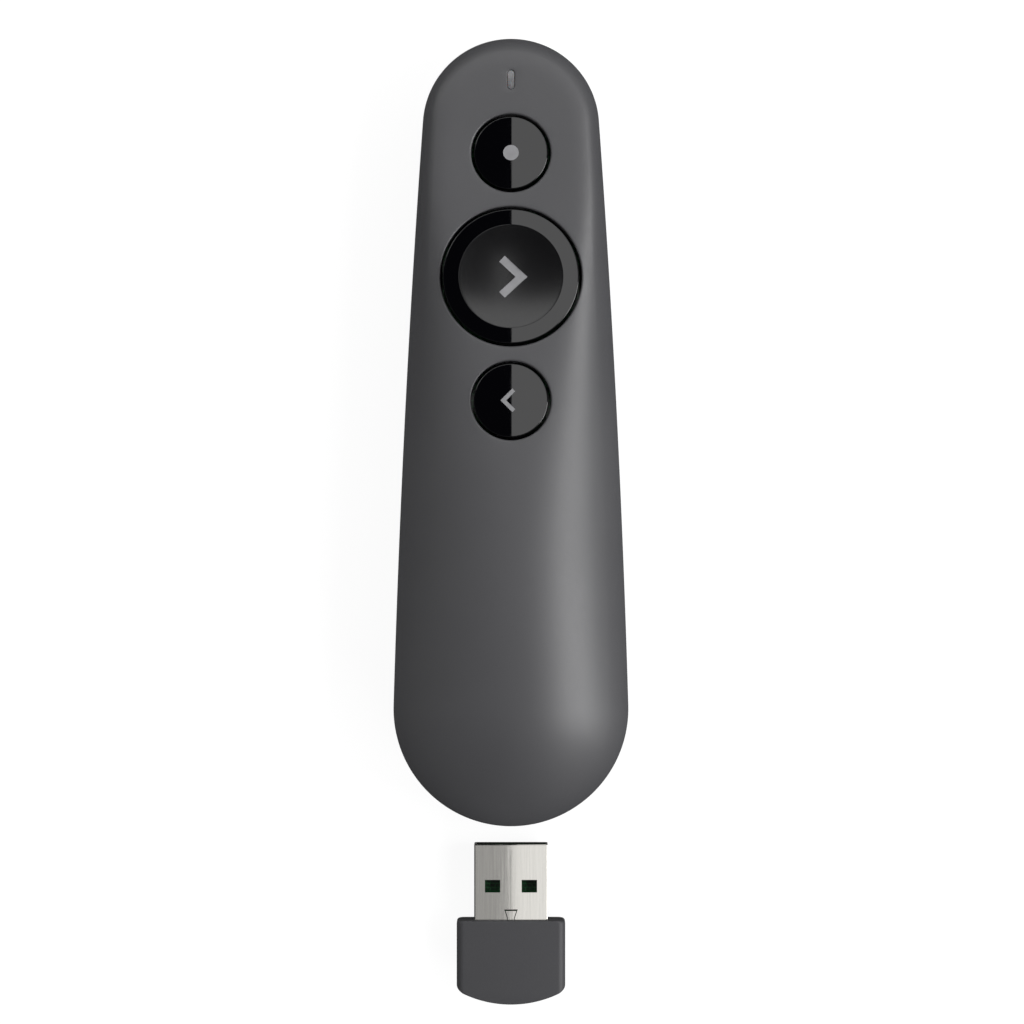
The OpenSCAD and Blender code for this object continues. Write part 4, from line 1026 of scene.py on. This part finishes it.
def capTree():
    # a cap turned from its profile, with its two guide tabs; what lies in the dish takes the satin
    tree, given = geometryTree("turnedCap", Int="Segments", Float="Dish Radius, Dish Floor, Tilt",
                               Vector="Tab Size, Tab Place, Place", Material="Gloss, Satin")
    line = addNode(tree, "GeometryNodeMeshToCurve", {"Mesh": given["Geometry"]})
    circle = addNode(tree, "GeometryNodeCurvePrimitiveCircle", {"Radius": mm, "Resolution": given["Segments"]})
    turned = addNode(tree, "GeometryNodeCurveToMesh", {"Curve": circle, "Profile Curve": line})
    closed = addNode(tree, "GeometryNodeMergeByDistance", {"Geometry": turned, "Distance": 0.001 * mm})
    spot = addNode(tree, "SeparateXYZ", {"Vector": addNode(tree, "GeometryNodeInputPosition")}).outputs
    level = addNode(tree, "CombineXYZ", {"X": spot["X"], "Y": spot["Y"]})
    away = addNode(tree, "VectorMath", {0: level}, operation="LENGTH").outputs["Value"]
    near = addNode(tree, "Math", {0: away, 1: given["Dish Radius"]}, operation="LESS_THAN")
    above = addNode(tree, "Math", {0: spot["Z"], 1: given["Dish Floor"]}, operation="GREATER_THAN")
    marked = addNode(tree, "GeometryNodeCaptureAttribute", {"Geometry": closed}, domain="FACE")
    marked.capture_items.new("BOOLEAN", "inDish")
    both = addNode(tree, "Math", {0: near, 1: above}, operation="MULTIPLY")
    tree.links.new(both.outputs[0], marked.inputs["inDish"])
    tab = addNode(tree, "GeometryNodeMeshCube", {"Size": given["Tab Size"]})
    whole = addNode(tree, "GeometryNodeJoinGeometry", {"Geometry": marked})
    for side in (1, -1):
        place = addNode(tree, "VectorMath", {0: given["Tab Place"], 1: (1, side, 1)}, operation="MULTIPLY")
        put = addNode(tree, "GeometryNodeTransform", {"Geometry": tab, "Translation": place})
        tree.links.new(put.outputs[0], whole.inputs[0])
    seat = addNode(tree, "GeometryNodeTransform", {
        "Geometry": whole, "Rotation": addNode(tree, "CombineXYZ", {"X": given["Tilt"]}),
        "Translation": given["Place"]})
    return endTree(tree, seat, (given["Gloss"], True), (given["Satin"], marked.outputs["inDish"]))


def makeCap(name, node, body, centre, radius, dished):
    b = buttons
    rise, edge, foot, stem = b["rise"], b["edgeRound"], b["stemBottom"], b["stemRadius"]
    under = -b["thickness"] - (b["dishDepth"] if dished else 0)
    inner = radius - b["skirtWall"]
    profile = [(0, foot), (stem - 0.1, foot), (stem, foot + 0.1), (stem, under), (inner, under),
               (inner, b["skirtBottom"]), (radius, b["skirtBottom"])]
    # close loops beside the round and the dish keep the flat between them truly flat
    profile += arc(radius - edge, rise - edge, edge, 0, math.pi / 2, 8) + [(radius - edge - 0.02, rise)]
    if dished:
        reach = b["dishRadius"]
        lip = reach + b["dishLip"]
        profile += [(lip + 0.03, rise), (lip, rise)]
        profile += [(reach * i / 28, dishHeight(reach * i / 28 - 0.02)) for i in range(28, 0, -1)]
        profile.append((0, dishHeight(0)))
    else:
        profile += [(radius * share, rise) for share in (0.9, 0.6, 0.3, 0)]
    # the tabs start inside the skirt
    tab = b["skirtWall"] + 0.5 + b["tabReach"]
    # the profile's points are laid from the top's middle round to the stem, measured from a circle of 1 mm
    line = [((r - 1) * mm, -high * mm, 0.0) for r, high in reversed(profile)]
    mesh = bpy.data.meshes.new(name + "Profile")
    mesh.from_pydata(line, [(i, i + 1) for i in range(len(line) - 1)], [])
    piece = growPiece(name, capTree(), {
        "Segments": 144 if dished else 112, "Dish Radius": b["dishRadius"] * mm if dished else 0.0,
        "Dish Floor": (rise - b["dishDepth"] - 0.1) * mm,
        "Tab Size": (b["tabWidth"] * mm, tab * mm, b["tabHeight"] * mm),
        "Tab Place": (0.0, (radius - b["skirtWall"] + tab / 2) * mm, b["tabZ"] * mm), "Tilt": -tilt,
        "Place": tuple(c * mm for c in deckPoint(centre, 0, 0, 0)), "Gloss": glossCap, "Satin": satinCap}, mesh)
    settle(smooth(piece, 40), body, "caps", node)


def chevron(height, stroke, lean, share):
    # points of a > that ends at share of its height, counter-clockwise, with slightly rounded corners
    lean = math.radians(lean)
    arm = height / 2 / math.sin(lean)
    outer = Vector((-arm * math.cos(lean), arm * math.sin(lean)))
    inner = outer - Vector((stroke * math.sin(lean), stroke * math.cos(lean)))
    notch = Vector((-stroke / math.sin(lean), 0))
    corners = [Vector((0, 0)), outer, inner, notch, Vector((inner.x, -inner.y)), Vector((outer.x, -outer.y))]
    points, cut = [], stroke * 0.09
    for i, corner in enumerate(corners):
        a, c = (corner + (other - corner).normalized() * cut for other in (corners[i - 1], corners[(i + 1) % 6]))
        points += [a * (1 - t) ** 2 + corner * 2 * t * (1 - t) + c * t * t for t in (0, 0.33, 0.67, 1)]
    return [(p.x + height * share, p.y) for p in points]


def makeIcon(name, node, body, centre, outline, surface):
    # a thin inlay that follows the cap's surface
    def inside(x, y):
        hit = False
        for (ax, ay), (bx, by) in zip(outline, outline[1:] + outline[:1]):
            if (ay > y) != (by > y) and x < (bx - ax) * (y - ay) / (by - ay) + ax:
                hit = not hit
        return hit

    (left, right), (low, high) = ((min(values), max(values)) for values in zip(*outline))
    loose, step = [], buttons["iconMesh"]
    for i in range(1, int((right - left) / step) + 1):
        for k in range(1, int((high - low) / step) + 1):
            x, y = left + i * step, low + k * step
            if inside(x, y) and min(math.hypot(x - px, y - py) for px, py in outline) > 0.12:
                loose.append((x, y))
    top = [(x, y, surface(math.hypot(x, y)) + buttons["iconProud"]) for x, y in outline + loose]
    under = [(x, y, z - buttons["iconDepth"]) for x, y, z in top]
    count, rimCount = len(top), len(outline)
    faces = filled(outline, [], loose, inside)
    faces += [tuple(count + i for i in reversed(face)) for face in faces]
    faces += [(i, count + i, count + (i + 1) % rimCount, (i + 1) % rimCount) for i in range(rimCount)]
    piece = pieceFrom(name, [deckPoint(centre, *p) for p in top + under], faces, [iconGrey], 50)
    rework(piece.data, faceOutwards)
    settle(piece, body, "icons", node)


makeCap("laserCap", "laser_button", "laser_key", laserY, buttons["smallRadius"], False)
makeCap("nextCap", "next_button", "next_key", nextY, buttons["largeRadius"], True)
makeCap("backCap", "back_button", "back_key", backY, buttons["smallRadius"], False)
makeIcon("laserDot", "laser_icon", "laser_key", laserY, arc(0, 0, buttons["dot"], 0, 2 * math.pi, 40)[:-1], flat)
makeIcon("nextArrow", "next_icon", "next_key", nextY, chevron(*buttons["nextIcon"]), dishHeight)
backward = [(-x, y) for x, y in reversed(chevron(*buttons["backIcon"]))]
makeIcon("backArrow", "back_icon", "back_key", backY, backward, flat)
print("buttons: three caps and their icons")


# ---- receiver ----

receiver = {
    # mm
    "corner": 1.2, "edge": 0.2, "sideEdge": 0.5, "blend": 0.9, "boardRoom": 4.4, "boardHalf": 1.6, "inHousing": 2.9,
    "sheet": 0.3, "fold": 0.16, "pillow": 0.04, "mouthEdge": 0.16, "pocketPlay": 0.02, "tailPlay": 0.05,
    "windowWidth": 2.5, "windowLength": 2.05, "windowX": 3.0, "windowY": 5.55,
    # the dovetail that locks the folded sheet: half widths and places of its neck and its far end
    "neck": (0.6, 0.3), "far": (1.1, 1.75), "slit": 0.11,
}
housingHigh, plugHigh = (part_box(node)[1] / mm for node in ("receiver_housing", "plug_shell"))
housingFront = housingHigh.y


def rounded(near, radius):
    # how far a round edge is drawn in at a place near the end
    return radius - math.sqrt(max(0.0, radius ** 2 - (radius - near) ** 2)) if near < radius else 0.0


def housingRing(height):
    # one closed outline of the housing at a height, corners rounded, counter-clockwise
    near = min(height, bay["housingHeight"] - height)
    power, turn, blend = case["bellyPower"], receiver["sideEdge"], receiver["blend"]
    half, pull = housingHigh.x - rounded(near, receiver["corner"]), rounded(near, receiver["edge"])
    front, centre = housingFront - pull, tailY - stowTravel
    # the end follows the belly of the case, so that the stowed receiver completes its arc
    bellyInset = case["bellyBlend"] * (1 - (1 - (1 - height / case["seamTail"]) ** power) ** (1 / power))
    radius = tailRadius - bellyInset - receiver["tailPlay"] - pull
    # right front corner, left front corner, then the end's arc with its own rounded corners
    corners = [p for side, start in ((1, 0), (-1, math.pi / 2))
               for p in arc(side * (half - turn), front - turn, turn, start, start + math.pi / 2, 9)]
    # the round that joins a side to the arc touches both
    cx = half - blend
    cy = -math.sqrt((radius - blend) ** 2 - cx ** 2)
    meet = math.atan2(cy, cx)
    joins = [(x, y + centre) for x, y in arc(cx, cy, blend, 0, meet, 8)]
    sweep = arc(0, centre, radius, -math.pi - meet, meet, 40)[1:-1]
    left = [(-x, y) for x, y in joins]
    return [(x, y, height) for x, y in corners + left + sweep + list(reversed(joins))]


def makeHousing():
    tall = bay["housingHeight"]
    low = [receiver["corner"] * (1 - math.cos(math.radians(i * 11.25))) for i in range(9)] + [0.03, 0.1, 0.2]
    heights = low + [tall * k / 8 for k in range(2, 7)] + [tall - h for h in low]
    rings = [housingRing(h) for h in sorted(set(round(h, 4) for h in heights))]
    points, faces = bands(rings)
    count = len(rings[0])
    faces += [tuple(reversed(range(count))), tuple(range(len(points) - count, len(points)))]
    piece = pieceFrom("receiverHousing", points, faces, [receiverAbs], 35)
    w, h, play = bay["plugWidth"] / 2, bay["plugHeight"] / 2, receiver["pocketPlay"]
    carve(piece, "DIFFERENCE", [
        box((-w - play, housingFront - 3, plugZ - h - play), (w + play, housingFront + 1, plugZ + h + play)),
        box((-w + 0.4, housingFront - receiver["boardRoom"] - 5, plugZ - receiver["boardHalf"]),
            (w - 0.4, housingFront - 2, plugZ + receiver["boardHalf"]))])
    settle(smooth(piece, 35), "receiver", "receiver_plastic", "receiver_housing")


def sheetRing(inset, y):
    # the plug's section at a place along it: a folded rectangle whose broad faces are very slightly pillowed
    w, h = bay["plugWidth"] / 2 - inset, bay["plugHeight"] / 2 - inset
    fold = max(0.12, receiver["fold"] - inset)
    points, right = [], math.pi / 2
    for x, z, turn in ((1, 1, 0), (-1, 1, 1), (-1, -1, 2), (1, -1, 3)):
        points += arc(x * (w - fold), z * (h - fold), fold, turn * right, (turn + 1) * right, 9)
    reach, sunk = w - fold, []
    divided = [0.003] + [k / 24 for k in range(1, 24)] + [0.997]
    for (x, z), (nextX, _) in zip(points, points[1:] + points[:1]):
        # only the broad faces are divided
        for share in [0.0] + (divided if abs(x - nextX) > reach else []):
            across = mix(x, nextX, share)
            low = receiver["pillow"] * min(1.0, abs(across) / reach) ** 2
            onFace = abs(z) > h - 1e-6 or abs(across) > reach
            sunk.append((across, y, plugZ + math.copysign(abs(z) - low if onFace else abs(z), z)))
    return sunk


def makePlugShell():
    end, start = plugHigh.y, housingFront - receiver["inHousing"]
    lip, sheet = receiver["mouthEdge"], receiver["sheet"]
    # out along the outside, over the mouth's edge, and back along the inside
    stations = [(0.0, start), (0.0, housingFront - 0.1), (0.0, end - lip - 0.03), (0.0, end - lip)]
    stations += [(lip * (1 - math.cos(math.radians(a))), end - lip + lip * math.sin(math.radians(a)))
                 for a in (30, 60, 90)]
    stations += [(sheet, end), (sheet, start)]
    rings = [sheetRing(inset, y) for inset, y in stations]
    points, faces = bands(rings)
    a, count = len(points) - len(rings[0]), len(rings[0])
    faces += [(a + i, a + (i + 1) % count, (i + 1) % count, i) for i in range(count)]
    piece = pieceFrom("plugShell", points, faces, [plugNickel], 30)
    rework(piece.data, faceOutwards)
    wx, wl, y = receiver["windowWidth"] / 2, receiver["windowLength"] / 2, housingFront + receiver["windowY"]
    cuts = [box((x - wx, y - wl, -0.5), (x + wx, y + wl, bay["housingHeight"] + 0.5))
            for x in (-receiver["windowX"], receiver["windowX"])]
    # the slit of the dovetail where the folded sheet locks on top, and the seam beyond it
    (neck, foot), (wide, far), slit = receiver["neck"], receiver["far"], receiver["slit"]
    dovetail = [(-neck, foot - 0.6), (-neck, foot), (-wide, far), (wide, far), (neck, foot), (neck, foot - 0.6),
                (neck - slit, foot - 0.6), (neck - slit, foot + 0.02), (wide - 2 * slit, far - 2.2 * slit),
                (-wide + 2 * slit, far - 2.2 * slit), (-neck + slit, foot + 0.02), (-neck + slit, foot - 0.6)]
    levels = [[(x, housingFront + y, z) for x, y in reversed(dovetail)] for z in (plugZ, plugZ + 4)]
    seam = box((-0.02, housingFront + far - 0.02, plugZ), (0.02, end - 1, plugZ + 4))
    carve(piece, "DIFFERENCE", cuts + [bands(levels, True), seam])
    settle(smooth(piece, 30), "receiver", "plug_steel", "plug_shell")


makeHousing()
makePlugShell()
for row in (("caps", "plug_carrier", carrierPbt, 0.08), ("board", "receiver_board", tongueMask, 0.03, 1),
            ("gold", "plug_contacts", contactGold, 0.04), ("chips", "receiver_parts", chipEpoxy, 0.06)):
    finishedCopy("receiver", *row)
print("receiver: housing, plug and what is inside them")


# ---- inside the case ----

insides = {
    # mm
    "cellRadius": 5.25, "cellLength": 44.5, "cellX": 5.6, "cellZ": 7.65,
    "nubRadius": 1.9, "nubLength": 1.2, "crimp": 0.5,
    "wire": 0.3, "turns": 4, "springLength": 4.0, "springWide": 3.65, "springNarrow": 2.2,
    "bandFrom": 5, "bandTo": 21,     # the sleeve's change of colour, from the cell's middle
    "boardScrewZ": -5.4,             # from the deck
}
screws = {
    # the profile of the head and shank; the thread's start, pitch, steps, radii and tip, coarse as on
    # a screw for plastic; the cross recess's half length, half width and depth; all in mm
    "caseScrews": {
        "head": [(0, 0.8), (1.4, 0.8), (1.7, 0.92), (1.9, 1.2), (1.9, 2.2), (0.9, 2.2)],
        "thread": (2.6, 0.4, 21, 0.9, 0.7, 11.9), "cross": (1.05, 0.22, 0.7), "seed": 3},
    "boardScrews": {
        "head": [(0, -0.8), (1.1, -0.8), (1.35, -0.65), (1.4, -0.45), (1.4, 0), (0.7, 0)],
        "thread": (0.9, 0.25, 9, 0.7, 0.55, 3.2), "cross": (0.8, 0.22, 0.4), "seed": 8},
}


def springTree():
    # a conical coil of round wire along Y, from its wide end to its narrow end
    tree, given = geometryTree("coilSpring", Float="Turns, Wide, Narrow, Length, Wire, Turn", Vector="Place",
                               Material="Finish")
    coil = addNode(tree, "GeometryNodeCurveSpiral", {
        "Resolution": 40, "Rotations": given["Turns"], "Start Radius": given["Wide"],
        "End Radius": given["Narrow"], "Height": given["Length"]})
    bar = addNode(tree, "GeometryNodeCurvePrimitiveCircle", {"Resolution": 14, "Radius": given["Wire"]})
    tube = addNode(tree, "GeometryNodeCurveToMesh", {"Curve": coil, "Profile Curve": bar, "Fill Caps": True})
    laid = addNode(tree, "GeometryNodeTransform", {"Geometry": tube, "Rotation": (-math.pi / 2, 0, 0)})
    put = addNode(tree, "GeometryNodeTransform", {
        "Geometry": laid, "Rotation": addNode(tree, "CombineXYZ", {"Z": given["Turn"]}),
        "Translation": given["Place"]})
    return endTree(tree, put, (given["Finish"], True))


def makeSprings():
    low, high = (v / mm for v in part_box("cell_springs"))
    tree, wire = springTree(), insides["wire"]
    left, right = (growPiece("cellSprings", tree, {
        "Turns": float(insides["turns"]), "Wide": insides["springWide"] * mm,
        "Narrow": insides["springNarrow"] * mm, "Length": (insides["springLength"] - 2 * wire) * mm,
        "Wire": wire * mm, "Place": (side * insides["cellX"] * mm, y * mm, insides["cellZ"] * mm),
        "Turn": turn, "Finish": springNickel})
        for side, y, turn in ((-1, low.y + wire, 0.0), (1, high.y - wire, math.pi)))
    absorb(left, right)
    settle(smooth(left, 60), "case", "steel", "cell_springs")


def makeCell(name, node, side):
    # sleeved can with a rolled-in shoulder, a bare rim at each end and a raised nub; side is where
    # it lies, and its nub points to the head on the left and to the tail on the right
    low, high = (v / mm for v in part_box(node))
    r, long, crimp, nub = (insides[k] for k in ("cellRadius", "cellLength", "crimp", "nubRadius"))
    top = long - insides["nubLength"]
    foot = [(0, 0.02), (r - 1.2, 0.0), (r - 1.0, 0.12), (r - crimp - 0.15, 0.12)]
    sleeved = [(r - crimp - 0.05, 0.02), (r - 0.2, 0.08), (r - 0.05, 0.3), (r, 0.55), (r, 0.9), (r, top / 2),
               (r, top - 0.9), (r, top - 0.55), (r - 0.08, top - 0.25), (r - 0.35, top - 0.03)]
    head = [(r - crimp - 0.3, top - 0.02), (r - crimp - 0.35, top - 0.16), (nub + 1.0, top - 0.16),
            (nub + 0.8, top - 0.02), (nub + 0.1, top), (nub, top + 0.1), (nub, long - 0.15), (nub - 0.15, long),
            (0, long)]
    count, start = 72, low.y if side < 0 else high.y
    points, faces = moved(lathe(foot + sleeved + head, count), lambda p: (
        side * (insides["cellX"] - p[0]), start - side * p[2], insides["cellZ"] - p[1]))
    dark, pale, middle = "#27323A", "#B3B6B8", (low.y + high.y) / 2
    near, far = sorted((middle - side * insides["bandFrom"], middle - side * insides["bandTo"]))
    band = shrinkSleeve(*((dark, pale) if side < 0 else (pale, dark)), near, far)
    piece = pieceFrom(name, points, faces, [screwZinc, band], 40)
    slots = [0] * len(foot) + [1] * len(sleeved) + [0] * (len(head) - 1)
    piece.data.polygons.foreach_set("material_index", [slot for slot in slots for i in range(count)])
    settle(piece, "case", "cell", node)


def screwTree():
    # the same screw at each point, turned about its own axis by chance
    tree, given = geometryTree("screwsAtPoints", Object="Screw", Float="Tilt", Int="Seed", Material="Finish")
    shape = addNode(tree, "GeometryNodeObjectInfo", {"Object": given["Screw"]}).outputs["Geometry"]
    angle = addNode(tree, "FunctionNodeRandomValue", {2: 0.0, 3: 1.5, "Seed": given["Seed"]},
                    data_type="FLOAT").outputs[1]
    put = addNode(tree, "GeometryNodeInstanceOnPoints", {
        "Points": given["Geometry"], "Instance": shape,
        "Rotation": addNode(tree, "CombineXYZ", {"X": given["Tilt"], "Z": angle})})
    return endTree(tree, put, (given["Finish"], True))


def makeScrews(name, node, spots, lean):
    # one screw with a rolled thread and a cross recess in its lower end, then one at each spot
    head, (first, pitch, steps, thick, thin, tip) = screws[name]["head"], screws[name]["thread"]
    thread = [(thick if k % 2 else thin, first + k * pitch) for k in range(steps)]
    shape = pieceFrom("screwShape", *lathe(head + thread + [(0, tip)], 40), [screwZinc], 35)
    (half, slot, deep), foot = screws[name]["cross"], head[0][1]
    carve(shape, "DIFFERENCE", [box((-x, -y, foot - 1), (x, y, foot + deep))
                                for x, y in ((half, slot), (slot, half))])
    softened(shape, 0.05, 1, 50)
    points = bpy.data.meshes.new("screwSpots")
    points.from_pydata([tuple(c * mm for c in p) for p in spots], [], [])
    piece = growPiece(name, screwTree(), {"Screw": shape, "Tilt": lean, "Seed": screws[name]["seed"],
                                          "Finish": screwZinc}, points)
    bpy.data.objects.remove(shape)
    settle(smooth(piece, 35), "case", "steel", node)


makeSprings()
makeCell("cellLeft", "cell_left", -1)
makeCell("cellRight", "cell_right", 1)
makeScrews("caseScrews", "case_screws", [(x, y, 0) for x, y in headSpots + tailSpots], 0.0)
makeScrews("boardScrews", "board_screws",
           [deckPoint(y, x, 0, insides["boardScrewZ"]) for x, y in boardSpots], -tilt)
for row in (("inner_plastic", "inner_frame", frameAbs, 0.15), ("board", "main_board", boardMask, 0.04, 1),
            ("chips", "board_parts", chipEpoxy, 0.06), ("chips", "switch_cases", switchNylon, 0.08),
            ("led", "status_led", ledResin, 0.06), ("light_pipe", "light_pipe", pipeGrey, 0.06),
            ("brass", "laser_barrel", barrelBrass, 0.1), ("steel", "laser_diode", springNickel, 0.06),
            ("lens", "laser_lens", lensGlass, 0.04), ("window", "laser_window", windowAcrylic, 0.08),
            ("steel", "cell_contacts", springNickel, 0.08)):
    finishedCopy("case", *row)
for key in ("laser", "next", "back"):
    finishedCopy(key + "_key", "plungers", key + "_plunger", plungerAcetal, 0.1)
print("insides: cells, springs, screws, boards and laser")
